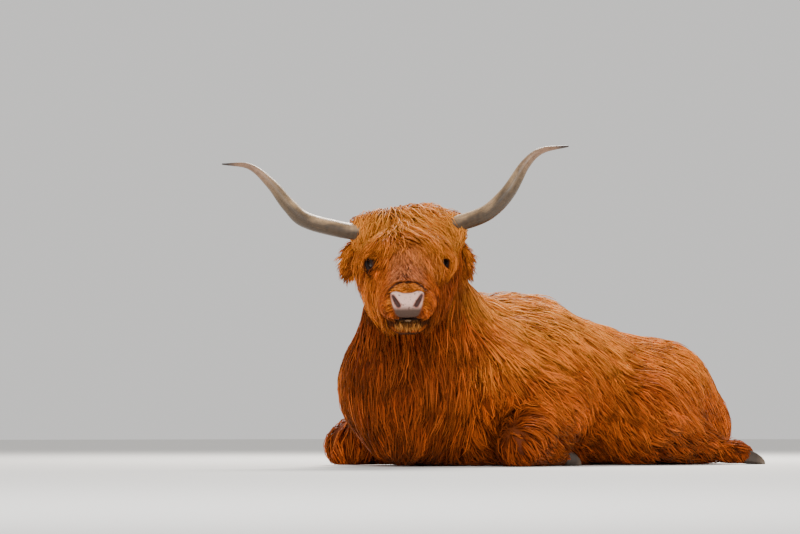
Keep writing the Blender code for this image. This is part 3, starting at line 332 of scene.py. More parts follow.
class Flesh:
    """A smooth blend of masses, given in groups with the frame that each stands in."""

    def __init__(self, groups):
        self.groups = groups

    def distance(self, points):
        """Distance of points from the flesh, negative inside."""
        total = None
        for masses, frame_of in self.groups:
            local = points if frame_of is None else local_points(points, frame_of)
            for *shape, blend in masses:
                part = capsule_distance(local, *shape)
                if total is None:
                    total = part
                    continue
                near = np.maximum(blend - np.abs(total - part), 0.0) / blend
                total = np.minimum(total, part) - near * near * blend * 0.25
        return total

    def slope(self, points, step=0.0015):
        gradient = np.zeros_like(points)
        for axis in range(3):
            shift = np.zeros(3)
            shift[axis] = step
            change = self.distance(points + shift) - self.distance(points - shift)
            gradient[:, axis] = change / (2 * step)
        return gradient

    def settle(self, points, rounds):
        """Moves points along the slope until they lie on the flesh."""
        points = points.copy()
        for _ in range(rounds):
            gradient = self.slope(points)
            size = np.maximum((gradient * gradient).sum(axis=1), 0.15)
            points -= gradient * (self.distance(points) / size)[:, None]
        return points

    def normals(self, points, step=0.002):
        """Normals by one-sided steps."""
        base = self.distance(points)
        gradient = np.empty_like(points)
        for axis in range(3):
            shift = np.zeros(3)
            shift[axis] = step
            gradient[:, axis] = self.distance(points + shift) - base
        return gradient / np.maximum(np.linalg.norm(gradient, axis=1), 1e-9)[:, None]


def horn_point(side, index):
    """A point of a horn's route, in the cow's frame."""
    x, y, z = HORN_ROUTES[side][index]
    return FACE @ Vector((side * x, y, z))


def smooth_route(route, count):
    """Evenly spaced points on a Catmull-Rom curve through the given ones."""
    points = [Vector(point) for point in route]
    ends = [points[0] * 2 - points[1]] + points + [points[-1] * 2 - points[-2]]
    dense = []
    for index in range(len(points) - 1):
        p0, p1, p2, p3 = ends[index:index + 4]
        for step in range(16):
            t = step / 16
            dense.append(0.5 * (p1 * 2 + (p2 - p0) * t + (p0 * 2 - p1 * 5 + p2 * 4 - p3) * t * t
                                + (p1 * 3 - p0 - p2 * 3 + p3) * t * t * t))
    dense.append(points[-1].copy())
    lengths = [0.0]
    for first, second in zip(dense, dense[1:]):
        lengths.append(lengths[-1] + (second - first).length)
    even = []
    index = 0
    for step in range(count):
        wanted = lengths[-1] * step / (count - 1)
        while index < len(dense) - 2 and lengths[index + 1] < wanted:
            index += 1
        share = (wanted - lengths[index]) / max(lengths[index + 1] - lengths[index], 1e-9)
        even.append(dense[index].lerp(dense[index + 1], min(1.0, share)))
    return even


def new_object(name, mesh):
    thing = bpy.data.objects.new(name, mesh)
    bpy.context.scene.collection.objects.link(thing)
    return thing


def mesh_from(bm, name):
    """Turns a bmesh into a mesh and frees it."""
    mesh = bpy.data.meshes.new(name)
    bm.to_mesh(mesh)
    bm.free()
    return mesh


def mesh_of_rings(bm, name, rings, cap):
    """A closed smooth mesh through rings of vertices; cap is its first end."""
    for first, second in zip(rings, rings[1:]):
        for side in range(len(first)):
            other = (side + 1) % len(first)
            bm.faces.new((first[side], first[other], second[other], second[side]))
    bm.faces.new(cap)
    bm.faces.new(rings[-1])
    bmesh.ops.recalc_face_normals(bm, faces=bm.faces)
    mesh = mesh_from(bm, name)
    mesh.shade_smooth()
    return mesh


def coordinates(mesh):
    flat = np.empty(len(mesh.vertices) * 3)
    mesh.vertices.foreach_get("co", flat)
    return flat.reshape(-1, 3)


def vertex_normals(mesh):
    flat = np.empty(len(mesh.vertices) * 3)
    mesh.vertex_normals.foreach_get("vector", flat)
    return flat.reshape(-1, 3)


def hull_of_mass(start, end, radius, end_radius, squash, grow_by, fine=2):
    """A mesh of the convex hull of a mass's two end balls."""
    ball = bmesh.new()
    bmesh.ops.create_icosphere(ball, subdivisions=fine, radius=1.0)
    directions = [vertex.co.copy() for vertex in ball.verts]
    ball.free()
    hull = bmesh.new()
    for centre, size in ((start, radius), (end, end_radius)):
        for direction in directions:
            reach = Vector([(size + grow_by) * part * scale for part, scale in zip(direction, squash)])
            hull.verts.new(Vector(centre) + reach)
    made = bmesh.ops.convex_hull(hull, input=hull.verts)
    spare = {part for part in made["geom_interior"] + made["geom_unused"]
             if isinstance(part, bmesh.types.BMVert)}
    bmesh.ops.delete(hull, geom=list(spare), context="VERTS")
    return mesh_from(hull, "hull")


def modified(thing, kind, **settings):
    """Adds a modifier with its settings and applies it."""
    modifier = thing.modifiers.new(kind.lower(), kind)
    for name, value in settings.items():
        setattr(modifier, name, value)
    graph = bpy.context.evaluated_depsgraph_get()
    mesh = bpy.data.meshes.new_from_object(thing.evaluated_get(graph))
    thing.modifiers.clear()
    thing.data = mesh
    return thing


def settled(thing, flesh, rounds):
    points = flesh.settle(coordinates(thing.data), rounds)
    thing.data.vertices.foreach_set("co", points.ravel())
    thing.data.update()
    return thing


def flesh_object(name, flesh, voxel):
    """A closed mesh of the flesh: its masses fused on a grid, then settled on the smooth field."""
    bm = bmesh.new()
    for masses, frame_of in flesh.groups:
        for *shape, _ in masses:
            mesh = hull_of_mass(*shape, voxel * 0.5)
            if frame_of is not None:
                mesh.transform(frame_of)
            bm.from_mesh(mesh)
            bpy.data.meshes.remove(mesh)
    thing = new_object(name, mesh_from(bm, name))
    modified(thing, "REMESH", mode="VOXEL", voxel_size=voxel)
    settled(thing, flesh, 5)
    modified(thing, "SMOOTH", factor=0.5, iterations=3)
    return settled(thing, flesh, 3)


def boolean(thing, operation, other):
    modified(thing, "BOOLEAN", operation=operation, solver="MANIFOLD", object=other)
    bpy.data.objects.remove(other)


def half_space(point, normal):
    """A large block on the side of a plane that its normal points to."""
    inward = Vector(normal).normalized()
    bm = bmesh.new()
    bmesh.ops.create_cube(bm, size=6.0)
    bmesh.ops.bisect_plane(bm, geom=bm.verts[:] + bm.edges[:] + bm.faces[:], plane_co=Vector(point),
                           plane_no=-inward, clear_outer=True)
    bmesh.ops.holes_fill(bm, edges=bm.edges[:])
    bmesh.ops.recalc_face_normals(bm, faces=bm.faces)
    return new_object("block", mesh_from(bm, "block"))


def ramp(values, low, high):
    """0 at low, 1 at high, smooth between."""
    part = np.clip((values - low) / (high - low), 0.0, 1.0)
    return part * part * (3.0 - 2.0 * part)


def mixed(first, second, share):
    """Rows of colours or directions, part way from the first to the second."""
    share = np.asarray(share)[..., None]
    return np.asarray(first) * (1.0 - share) + np.asarray(second) * share


def unit(rows):
    return rows / np.maximum(np.linalg.norm(rows, axis=-1, keepdims=True), 1e-9)


def zones(points):
    """How far each point belongs to the head and to the parts of its face."""
    local = local_points(points, HEAD)
    x, y, z = local.T
    head = ramp((points - NAPE) @ NAPE_WAY, -0.02, 0.05)
    muzzle = head * ramp(-y, 0.345, 0.400)
    jaw = head * ramp(-z, 0.135, 0.165)
    chin = jaw * ramp(-y, 0.25, 0.32)
    crown = head * ramp(z, -0.095, -0.035) * ramp(y, -0.205, -0.075)
    front = head * ramp(z, -0.085, -0.045) * (1.0 - crown) * (1.0 - muzzle)
    bridge = front * ramp(-y, 0.20, 0.27)
    eye = np.full(len(points), 9.0)
    for side in (1, -1):
        centre, axis, _, _ = eye_basis(side)
        eye = np.minimum(eye, np.linalg.norm(local - np.array(centre + axis * EYE_FRONT), axis=1))
    brow = np.linalg.norm(local - np.array(BROW), axis=1)
    around_eye = head * np.maximum(1.0 - ramp(eye, 0.018, 0.036), 1.0 - ramp(brow, 0.014, 0.034))
    return {"local": local, "head": head, "muzzle": muzzle, "jaw": jaw, "chin": chin, "crown": crown,
            "front": front, "bridge": bridge, "eye": eye, "around_eye": around_eye}


def pad_share(local):
    """1 on the bare leather of the nose."""
    x, y, z = local.T
    dip = PAD_DIP * (1.0 - ramp(np.abs(x), 0.004, 0.046))
    top = ramp(-y - dip, -PAD_TOP - 0.003, -PAD_TOP + 0.003)
    edge = PAD_HALF + PAD_NARROW * np.minimum(0.0, z + 0.014)
    rise = np.clip((z - PAD_LOW) / PAD_ROUND, 0.0, 1.0)
    edge = edge * (0.35 + 0.65 * np.sqrt(1.0 - (1.0 - rise) ** 2))
    side = 1.0 - ramp(np.abs(x), edge - 0.005, edge + 0.004)
    low = ramp(z, PAD_LOW - 0.005, PAD_LOW + 0.004)
    return top * side * low


def mouth_distance(local):
    """Distance from the slit of the mouth."""
    *shape, _ = head_hollows()[-1]
    return capsule_distance(local, *shape)


def nostril_distance(local):
    """Distance from the nearer nostril."""
    return np.minimum(*(capsule_distance(local, *shape) for *shape, _ in head_hollows()[2:4]))


def tints(points, normals):
    """The coat's markings, with painted highlights on top and painted shade low down, on the chest, on
    one cheek and under the chin.
    """
    zone = zones(points)
    local, head = zone["local"], zone["head"]
    x, y, z = local.T
    # Partly painted highlight: hair higher up that faces up is paler and golden, partly the coat's own
    # sun-bleached top.
    up = ramp(normals[:, 2], 0.05, 0.85)
    tint = mixed(np.tile(RUST, (len(points), 1)), LIGHT, up * ramp(points[:, 2], 0.26, 0.46))
    tint = mixed(tint, GOLD, 0.85 * up * up * ramp(points[:, 2], 0.42, 0.58))
    # Painted shade: hair low down, near the floor, is darkened.
    tint = mixed(tint, DEEP, 0.70 * (1.0 - ramp(points[:, 2], 0.02, 0.24)))
    # Partly painted shade: the chest under the head and neck is darkened, besides its own darker hair.
    middle = 1.0 - ramp(np.abs(points[:, 0] - 0.06), 0.12, 0.26)
    chest = (1.0 - head) * (1.0 - ramp(points[:, 1], -0.04, 0.20)) * middle
    tint = mixed(tint, DEEP, 0.85 * chest)
    tint = mixed(tint, RUST, head)
    tint = mixed(tint, PINK, 0.85 * zone["front"] * (1.0 - ramp(np.abs(x), 0.03, 0.06)))
    over = head * ramp(z, -0.095, -0.035) * ramp(y, -0.30, -0.06)
    tint = mixed(tint, LIGHT, over * (0.45 + 0.50 * ramp(x, -0.06, 0.04)))
    tint = mixed(tint, GOLD, over * ramp(y, -0.11, -0.01) * 0.70)
    cheek = head * (1.0 - zone["crown"]) * (1.0 - zone["front"]) * (1.0 - zone["muzzle"])
    # Painted light and shade across the face: the cow's right cheek is painted lighter and its left cheek
    # darker.
    tint = mixed(tint, LIGHT, 0.45 * cheek * (1.0 - ramp(x, -0.05, 0.0)))
    tint = mixed(tint, DEEP, 0.62 * cheek * ramp(x, 0.0, 0.06))
    tint = mixed(tint, SOOT, 0.88 * zone["around_eye"])
    curve = y + 0.055 * (x / 0.060) ** 2
    top_side = head * ramp(z, -0.060, -0.035)
    arc = top_side * ramp(-curve, 0.372, 0.382) * (1.0 - ramp(-curve, 0.398, 0.410))
    tint = mixed(tint, SOOT, 0.88 * arc * (1.0 - ramp(np.abs(x), 0.044, 0.070)))
    band = top_side * ramp(-curve, 0.400, 0.412) * (1.0 - ramp(np.abs(x), 0.050, 0.070))
    tint = mixed(tint, LIGHT, 0.80 * band)
    side = zone["muzzle"] * ramp(np.abs(x), 0.046, 0.062) * (1.0 - top_side)
    tint = mixed(tint, DEEP, 0.55 * side * ramp(-z, 0.040, 0.090))
    lip = zone["muzzle"] * (1.0 - ramp(mouth_distance(local), 0.008, 0.034))
    tint = mixed(tint, SOOT, 0.94 * lip)
    # Partly painted shade: the lowest hair under the chin is near black, its own dark beard with painted
    # shade beneath.
    tint = mixed(tint, SOOT, 0.95 * zone["chin"] * ramp(-z, 0.160, 0.176))
    lower_lip = head * ramp(-y, 0.385, 0.405) * ramp(-z, 0.138, 0.144) * (1.0 - ramp(-z, 0.154, 0.164))
    tint = mixed(tint, TAN, 0.90 * lower_lip * (1.0 - ramp(np.abs(x), 0.034, 0.050)))
    return tint


def lie(points):
    """The way the hair lies, before it is laid along the skin."""
    zone = zones(points)
    local, head = zone["local"], zone["head"]
    side = np.sign(points[:, 0]) * ramp(np.abs(points[:, 0]), 0.0, 0.05)
    back = ramp(points[:, 1], -0.02, 0.35)
    rear = ramp(points[:, 1], 1.18, 1.45)
    low = 1.0 - ramp(points[:, 2], 0.10, 0.26)
    way = np.zeros_like(points)
    way[:, 0] = 0.30 * side * ramp(points[:, 2], 0.35, 0.50)
    way[:, 1] = (0.80 + 0.25 * low) * back * (1.0 - 0.75 * rear)
    way[:, 2] = -1.0 + 0.18 * back + 0.25 * low * back
    crown = head * ramp(local[:, 2], -0.12, -0.03)
    over = crown * ramp(local[:, 1], -0.07, -0.01)
    left = ramp(local[:, 0], -0.075, 0.010)
    sweep = crown * (0.80 * left - 0.50 * (1.0 - ramp(local[:, 0], -0.12, -0.05)))
    sweep = sweep * (1.0 - 0.75 * zone["bridge"]) + 0.5 * zone["bridge"] * local[:, 0] / 0.08
    ahead = -0.16 + 0.60 * crown + 0.65 * over
    face = ACROSS * sweep[:, None] + AHEAD * ahead[:, None] + DOWN * (1.0 - over)[:, None]
    snout = zone["muzzle"] * ramp(local[:, 2], -0.13, -0.09)
    out = local.copy()
    out[:, 1] = 0.03
    out[:, 2] = local[:, 2] + 0.055
    aside = unit(out) @ np.array(HEAD.to_3x3()).T
    face = face * (1.0 - snout)[:, None] + (aside * 0.75 + DOWN * 0.75) * snout[:, None]
    return way * (1.0 - head)[:, None] + face * head[:, None]


def coat_sizes(points):
    """Length, lift over the skin, width and density against the body's."""
    zone = zones(points)
    head, muzzle = zone["head"], zone["muzzle"]
    x, y, z = zone["local"].T
    leg = ramp(np.abs(points[:, 0]), 0.24, 0.34) * (1.0 - ramp(points[:, 2], 0.14, 0.28))
    neck = (1.0 - ramp(points[:, 1], -0.02, 0.20)) * (1.0 - head)
    shank = np.zeros(len(points))
    for hock, fetlock, pastern, radius in SHANKS.values():
        lower = capsule_distance(points, np.array(fetlock) * 0.75 + np.array(hock) * 0.25,
                                 np.array(pastern), radius, radius, np.ones(3))
        shank = np.maximum(shank, 1.0 - ramp(lower, 0.004, 0.018))
    tail = ramp(points[:, 1], 1.50, 1.56)
    rear = ramp(points[:, 1], 1.05, 1.35)
    length = 0.175 + 0.080 * neck - 0.055 * leg
    lift = 0.036 + 0.004 * neck - 0.008 * leg - 0.013 * rear
    width = 0.0064 + 0.0008 * neck
    density = np.full(len(points), 1.0)

    dome = np.exp(-((x + 0.015) / 0.055) ** 2)
    cheek = (head * ramp(np.abs(x), 0.045, 0.080) * ramp(-z, 0.060, 0.095)
             * (1.0 - ramp(-y, 0.24, 0.32)))
    for share, *sizes in (
            (shank, 0.052, 0.011, 0.0046, 2.2),
            (tail, 0.090, 0.016, 0.0056, 1.6),
            (head, 0.130, 0.044, 0.0050, 3.0),
            (zone["crown"], 0.180, 0.034 + 0.020 * dome, 0.0048, 3.6),
            (cheek, 0.150, 0.066, 0.0048, 3.6),
            (zone["front"], 0.088 + 0.070 * ramp(x, -0.02, 0.05), 0.019, 0.0038, 4.4),
            (zone["bridge"], 0.044, 0.010, 0.0032, 5.5),
            (zone["around_eye"], 0.020, 0.006, 0.0028, 6.0),
            (zone["jaw"], 0.085, 0.026, 0.0044, 3.6),
            (zone["chin"], 0.062, 0.018, 0.0038, 4.5),
            (muzzle, 0.030, 0.009, 0.0024, 8.0),
            (muzzle * ramp(np.abs(x), 0.048, 0.064), 0.052, 0.017, 0.0028, 8.0),
            (muzzle * ramp(z, -0.055, -0.030), 0.016, 0.005, 0.0022, 10.0),
            (muzzle * zone["jaw"], 0.024, 0.007, 0.0024, 8.0)):
        for values, new in zip((length, lift, width, density), sizes):
            values += (new - values) * share
    return length, lift, width, density


def grow(flesh, roots, normals, length, lift, swing, rng):
    """Paths of tufts that follow the lie over the flesh, and the way up at each point."""
    count = len(roots)
    layer = rng.uniform(0.35, 1.0, count)
    points = roots - normals * 0.003
    paths = [points]
    ups = [normals]
    jitter = rng.normal(0.0, 0.8 * swing, count)
    phase = rng.uniform(0.0, 2.0 * math.pi, count)
    for index in range(1, STEPS + 1):
        up = ups[-1]
        way = lie(points)
        way = unit(way - up * (way * up).sum(axis=1)[:, None] * 0.9)
        aside = np.cross(way, up)
        bend = jitter + swing * np.cos(phase + index * 2.1)
        way = unit(way + aside * bend[:, None])
        points = points + way * (length / STEPS)[:, None]
        up = flesh.normals(points)
        miss = flesh.distance(points) - lift * layer * RIDE[index]
        points = points - up * np.where(miss < 0.0, miss, miss * 0.55)[:, None]
        points[:, 2] = np.maximum(points[:, 2], 0.004)
        paths.append(points)
        ups.append(up)
    return np.stack(paths, axis=1), np.stack(ups, axis=1), layer


def along_paths(paths, shares):
    """Points at given shares of each path's length."""
    place = shares * STEPS
    index = np.minimum(place.astype(int), STEPS - 1)
    part = (place - index)[:, :, None]
    row = np.arange(len(paths))[:, None]
    return paths[row, index] * (1.0 - part) + paths[row, index + 1] * part


def uncovered(points):
    """Where no hair may hang: before the eyes, on the nose's leather and in the mouth."""
    local = local_points(points, HEAD)
    hidden = mouth_distance(local) < 0.001
    hidden |= (pad_share(local) > 0.8) & (local[:, 1] < -0.40)
    for side in (1, -1):
        centre, axis, _, _ = eye_basis(side)
        start = np.array(centre + axis * EYE_FRONT)
        way = np.array(axis) * 0.5 + EYE_OPEN
        way = way / np.linalg.norm(way)
        along = np.clip((local - start) @ way, 0.0, EYE_REACH)
        away = np.linalg.norm(local - start - along[:, None] * way, axis=1)
        hidden |= away < EYE_CLEAR[side] * (1.0 - 0.25 * along / EYE_REACH)
    x, y, z = local.T
    gape = GAPE_HALF - 4.0 * (z - GAPE_AT) ** 2 / 0.060
    hidden |= (np.abs(x) < gape) & (y < -0.37) & (z < -0.112) & (z > -0.140)
    return hidden & ((points - NAPE) @ NAPE_WAY > 0.0)


def trimmed(paths):
    """Ends tufts before they cross what stays uncovered; tells which are long enough to keep."""
    shares = np.linspace(0.0, 1.0, TRIM_STEPS * STEPS + 1)
    dense = along_paths(paths, np.tile(shares, (len(paths), 1)))
    crossed = uncovered(dense.reshape(-1, 3)).reshape(len(paths), -1)
    first = np.where(crossed.any(axis=1), crossed.argmax(axis=1) - 0.5, len(shares))
    share = np.clip(first / (TRIM_STEPS * STEPS), 0.0, 1.0)
    return along_paths(paths, share[:, None] * ALONG[None, :]), share > 0.15


def clumped(paths, share, pull, rng):
    """Draws the tufts' tips towards those of a few among them, as hair gathers in locks."""
    count = len(paths)
    leaders = rng.choice(count, size=max(2, int(count * share)), replace=False)
    tree = KDTree(len(leaders))
    for index, leader in enumerate(leaders):
        tree.insert(paths[leader, 0], index)
    tree.balance()
    nearest = np.array([tree.find(root)[1] for root in paths[:, 0]])
    goal = paths[leaders[nearest]]
    reach = np.clip(np.linalg.norm(paths[:, -1] - paths[:, 0], axis=1) / LOCK_REACH, 0.12, 1.0)
    strength = (pull * reach * rng.uniform(0.6, 1.25, count))[:, None] * ALONG[None, :] ** 1.4
    return paths + (goal - paths) * np.clip(strength, 0.0, 0.92)[:, :, None], nearest


def tuft_mesh(name, paths, ups, width, tint, uv, rng):
    """One mesh of closed, three-sided, tapering tufts."""
    count = len(paths)
    ahead = np.empty_like(paths)
    ahead[:, 1:-1] = paths[:, 2:] - paths[:, :-2]
    ahead[:, 0] = paths[:, 1] - paths[:, 0]
    ahead[:, -1] = paths[:, -1] - paths[:, -2]
    side = unit(np.cross(ahead, ups))
    roll = rng.uniform(-0.45, 0.45, count)[:, None, None]
    top = unit(np.cross(side, ahead))
    side, top = side + top * roll, top - side * roll
    rings = paths[:, :STEPS]
    half = (width[:, None] * RING_WIDTH * 0.5)[:, :, None] * side[:, :STEPS]
    peak = (width[:, None] * RING_WIDTH * RING_HEIGHT)[:, :, None] * top[:, :STEPS]
    corners = np.stack([rings - half, rings + peak, rings + half], axis=2).reshape(count, STEPS * 3, 3)
    vertices = np.concatenate([corners, paths[:, -1:, :]], axis=1)

    # The same faces for each tuft: its sides, its root and its tip.
    each = STEPS * 3 + 1
    quads = []
    for ring in range(STEPS - 1):
        for corner in range(3):
            other = (corner + 1) % 3
            quads += [ring * 3 + corner, ring * 3 + other, ring * 3 + 3 + other, ring * 3 + 3 + corner]
    last = (STEPS - 1) * 3
    triangles = [0, 2, 1]
    for corner in range(3):
        triangles += [last + corner, last + (corner + 1) % 3, each - 1]
    loops = (np.arange(count)[:, None] * each + np.array(quads + triangles)[None, :]).ravel()
    sizes = np.tile([4] * (len(quads) // 4) + [3] * (len(triangles) // 3), count)
    starts = np.concatenate([[0], np.cumsum(sizes)[:-1]])
    mesh = bpy.data.meshes.new(name)
    mesh.vertices.add(count * each)
    mesh.vertices.foreach_set("co", vertices.astype(np.float32).ravel())
    mesh.loops.add(len(loops))
    mesh.loops.foreach_set("vertex_index", loops.astype(np.int32))
    mesh.polygons.add(len(sizes))
    mesh.polygons.foreach_set("loop_start", starts.astype(np.int32))
    mesh.update(calc_edges=True)
    mesh.shade_smooth()

    # Painted shade darkens each tuft towards its root, where the coat shades it; paler at the tip, with
    # its own place on the skin's map.
    across = np.concatenate([np.tile([-1.0, 0.0, 1.0], STEPS), [0.0]])
    along = np.concatenate([np.repeat(ALONG[:STEPS], 3), [1.0]])
    mark = rng.uniform(0.0, 60.0, count)
    strand = np.empty((count, each, 3), dtype=np.float32)
    strand[:, :, 0] = across[None, :] + mark[:, None] * 3.0
    strand[:, :, 1] = along[None, :]
    strand[:, :, 2] = mark[:, None]
    set_attribute(mesh, "strand", "FLOAT_VECTOR", "vector", strand)
    shade = 0.38 + 0.70 * ramp(along, -0.25, 0.75)
    colour = np.ones((count, each, 4), dtype=np.float32)
    colour[:, :, :3] = tint[:, None, :] * shade[None, :, None]
    tips = (ramp(along, 0.45, 1.0) * 0.28)[None, :, None]
    pale = np.array(GOLD) * np.minimum(1.0, tint.max(axis=1) * 1.35)[:, None, None]
    colour[:, :, :3] += (pale - colour[:, :, :3]) * tips
    set_attribute(mesh, "tint", "FLOAT_COLOR", "color", np.clip(colour, 0.0, 1.0))
    place = np.stack([across * 0.0013, (along - 0.5) * 0.0026], axis=1)
    spots = uv[:, None, :] + place[None, :, :]
    layer = mesh.uv_layers.new(name="OFBake")
    layer.uv.foreach_set("vector", spots.reshape(-1, 2)[loops].astype(np.float32).ravel())
    return mesh


def evenly(points, facing):
    """Weighs all parts of a mesh alike."""
    return np.ones(len(points))


def mesh_samples(mesh, count, weigh, rng):
    """Random points on a mesh, their normals and places on its unwrap, by area and weight."""
    mesh.calc_loop_triangles()
    total = len(mesh.loop_triangles)
    corners = np.empty(total * 3, dtype=int)
    mesh.loop_triangles.foreach_get("vertices", corners)
    loops = np.empty(total * 3, dtype=int)
    mesh.loop_triangles.foreach_get("loops", loops)
    flat = np.empty(len(mesh.loops) * 2, dtype=np.float32)
    mesh.uv_layers["OFBake"].uv.foreach_get("vector", flat)
    uv = flat.reshape(-1, 2)[loops.reshape(-1, 3)]
    points = coordinates(mesh)[corners.reshape(-1, 3)]
    crossed = np.cross(points[:, 1] - points[:, 0], points[:, 2] - points[:, 0])
    doubled = np.linalg.norm(crossed, axis=1)
    facing = crossed / np.maximum(doubled, 1e-12)[:, None]
    odds = doubled * weigh(points.mean(axis=1), facing)
    chosen = rng.choice(total, size=count, p=odds / odds.sum())
    first, second = rng.random(count), rng.random(count)
    over = first + second > 1.0
    first[over], second[over] = 1.0 - first[over], 1.0 - second[over]
    shares = np.stack([1.0 - first - second, first, second], axis=1)
    spots = (points[chosen] * shares[:, :, None]).sum(axis=1)
    places = (uv[chosen] * shares[:, :, None]).sum(axis=1)
    return spots, facing[chosen], places


def varied(tint, groups, rng, layer=None):
    """Colours that differ from lock to lock and from tuft to tuft, with painted shade on the lower
    layers.
    """
    lock = rng.normal(0.0, LOCK_SPREAD, int(groups.max()) + 1)[groups]
    bright = np.exp(lock + rng.normal(0.0, TUFT_SPREAD, len(tint)))
    # Painted shade: tufts that lie lower in the coat are darkened.
    if layer is not None:
        bright *= 0.30 + 0.85 * ramp(layer, 0.30, 0.85)
    warm = rng.normal(0.0, WARM_SPREAD, len(tint))
    out = tint * bright[:, None]
    redder = np.clip(bright, 0.30, 1.0) ** 0.35
    out[:, 1] *= (1.0 + warm) * redder
    out[:, 2] *= (1.0 + 2.0 * warm) * redder
    return out * np.minimum(1.0, BRIGHTEST / np.maximum(out.max(axis=1), 1e-6))[:, None]


def node_material(name):
    made = bpy.data.materials.new(name)
    made.use_nodes = True
    return made, made.node_tree.nodes, made.node_tree.links, made.node_tree.nodes["Principled BSDF"]


def attribute_node(nodes, name):
    node = nodes.new("ShaderNodeAttribute")
    node.attribute_name = name
    return node


def noise_node(nodes, links, vector, scale, detail, roughness=0.55):
    node = nodes.new("ShaderNodeTexNoise")
    node.inputs["Scale"].default_value = scale
    node.inputs["Detail"].default_value = detail
    node.inputs["Roughness"].default_value = roughness
    links.new(vector, node.inputs["Vector"])
    return node.outputs["Fac"]


def mapped(nodes, links, value, low, high, out_low, out_high):
    node = nodes.new("ShaderNodeMapRange")
    for name, number in (("From Min", low), ("From Max", high), ("To Min", out_low),
                         ("To Max", out_high)):
        node.inputs[name].default_value = number
    links.new(value, node.inputs["Value"])
    return node.outputs["Result"]


def scaled(nodes, links, vector, scale):
    node = nodes.new("ShaderNodeVectorMath")
    node.operation = "MULTIPLY"
    node.inputs[1].default_value = scale
    links.new(vector, node.inputs[0])
    return node.outputs["Vector"]


def times(nodes, links, colour, factor):
    """A colour made lighter or darker by a value."""
    node = nodes.new("ShaderNodeVectorMath")
    node.operation = "SCALE"
    links.new(colour, node.inputs[0])
    links.new(factor, node.inputs["Scale"])
    return node.outputs["Vector"]


def bumped(nodes, links, shader, height, strength, distance):
    node = nodes.new("ShaderNodeBump")
    node.inputs["Strength"].default_value = strength
    node.inputs["Distance"].default_value = distance
    links.new(height, node.inputs["Height"])
    links.new(node.outputs["Normal"], shader.inputs["Normal"])


def blended(nodes, links, share, first, second, kind="RGBA"):
    """Part way from the first to the second, which may be a plain colour."""
    node = nodes.new("ShaderNodeMix")
    node.data_type = kind
    links.new(share, node.inputs["Factor"])
    links.new(first, node.inputs["A"])
    if isinstance(second, tuple):
        node.inputs["B"].default_value = second
    else:
        links.new(second, node.inputs["B"])
    return node.outputs["Result"]


def painted_material(name, stretch, noise, levels, bump, **settings):
    """A mesh's own tint, streaked along its strands, with a relief of the same streaks."""
    made, nodes, links, shader = node_material(name)
    tint = attribute_node(nodes, "tint")
    strand = attribute_node(nodes, "strand")
    stretched = scaled(nodes, links, strand.outputs["Vector"], stretch)
    streak = noise_node(nodes, links, stretched, *noise)
    shade = mapped(nodes, links, streak, *levels)
    links.new(times(nodes, links, tint.outputs["Color"], shade), shader.inputs["Base Color"])
    if bump:
        bumped(nodes, links, shader, streak, *bump)
    for setting, value in settings.items():
        shader.inputs[setting.replace("_", " ")].default_value = value
    return made


def coat_material():
    """Hair: the tuft's own colour, streaked along its strands."""
    return painted_material(
        "coat_hair", (3.2, 1.1, 1.0), (1.6, 2.0), (0.33, 0.67, 0.52, 1.32), (0.55, 0.0012),
        Roughness=0.52, Specular_IOR_Level=0.10, Specular_Tint=(1.0, 0.78, 0.55, 1.0),
        Sheen_Weight=0.04, Sheen_Roughness=0.45, Sheen_Tint=(1.0, 0.60, 0.28, 1.0))


def skin_material(name):
    """Short coat and bare leather in one: the leather is pebbled, speckled and moist."""
    made, nodes, links, shader = node_material(name)
    tint = attribute_node(nodes, "tint")
    pad = attribute_node(nodes, "pad")
    place = nodes.new("ShaderNodeTexCoord").outputs["Object"]
    hair = noise_node(nodes, links, place, 240.0, 4.0)
    pebble = nodes.new("ShaderNodeTexVoronoi")
    pebble.inputs["Scale"].default_value = 330.0
    links.new(place, pebble.inputs["Vector"])
    spots = noise_node(nodes, links, place, 150.0, 2.0, 0.6)
    speck = mapped(nodes, links, spots, 0.61, 0.66, 0.0, 0.80)
    hair_shade = mapped(nodes, links, hair, 0.3, 0.7, 0.7, 1.2)
    plain = times(nodes, links, tint.outputs["Color"], hair_shade)
    specked = blended(nodes, links, speck, tint.outputs["Color"], (0.06, 0.03, 0.025, 1.0))
    links.new(blended(nodes, links, pad.outputs["Fac"], plain, specked), shader.inputs["Base Color"])
    links.new(mapped(nodes, links, pad.outputs["Fac"], 0.0, 1.0, 0.75, 0.46), shader.inputs["Roughness"])
    height = blended(nodes, links, pad.outputs["Fac"], hair, pebble.outputs["Distance"], "FLOAT")
    bumped(nodes, links, shader, height, 0.55, 0.0016)
    shader.inputs["Specular IOR Level"].default_value = 0.2
    return made


def horn_material():
    """Worn horn: streaks along it, mottled where it is dark."""
    made, nodes, links, shader = node_material("horn_keratin")
    tint = attribute_node(nodes, "tint")
    strand = attribute_node(nodes, "strand")
    place = nodes.new("ShaderNodeTexCoord").outputs["Object"]
    stretched = scaled(nodes, links, strand.outputs["Vector"], (5.0, 1.6, 1.0))
    streak = noise_node(nodes, links, stretched, 1.0, 5.0, 0.65)
    mottle = noise_node(nodes, links, place, 65.0, 5.0, 0.65)
    first = mapped(nodes, links, streak, 0.32, 0.68, 0.70, 1.18)
    second = mapped(nodes, links, mottle, 0.34, 0.66, 0.68, 1.16)
    links.new(times(nodes, links, times(nodes, links, tint.outputs["Color"], first), second),
              shader.inputs["Base Color"])
    links.new(mapped(nodes, links, mottle, 0.3, 0.7, 0.34, 0.58), shader.inputs["Roughness"])
    bumped(nodes, links, shader, streak, 0.35, 0.0012)
    return made


def hoof_material():
    return painted_material("hoof_horn", (1.0, 14.0, 1.0), (1.0, 4.0), (0.3, 0.7, 0.7, 1.25),
                            (0.5, 0.0012), Roughness=0.46)


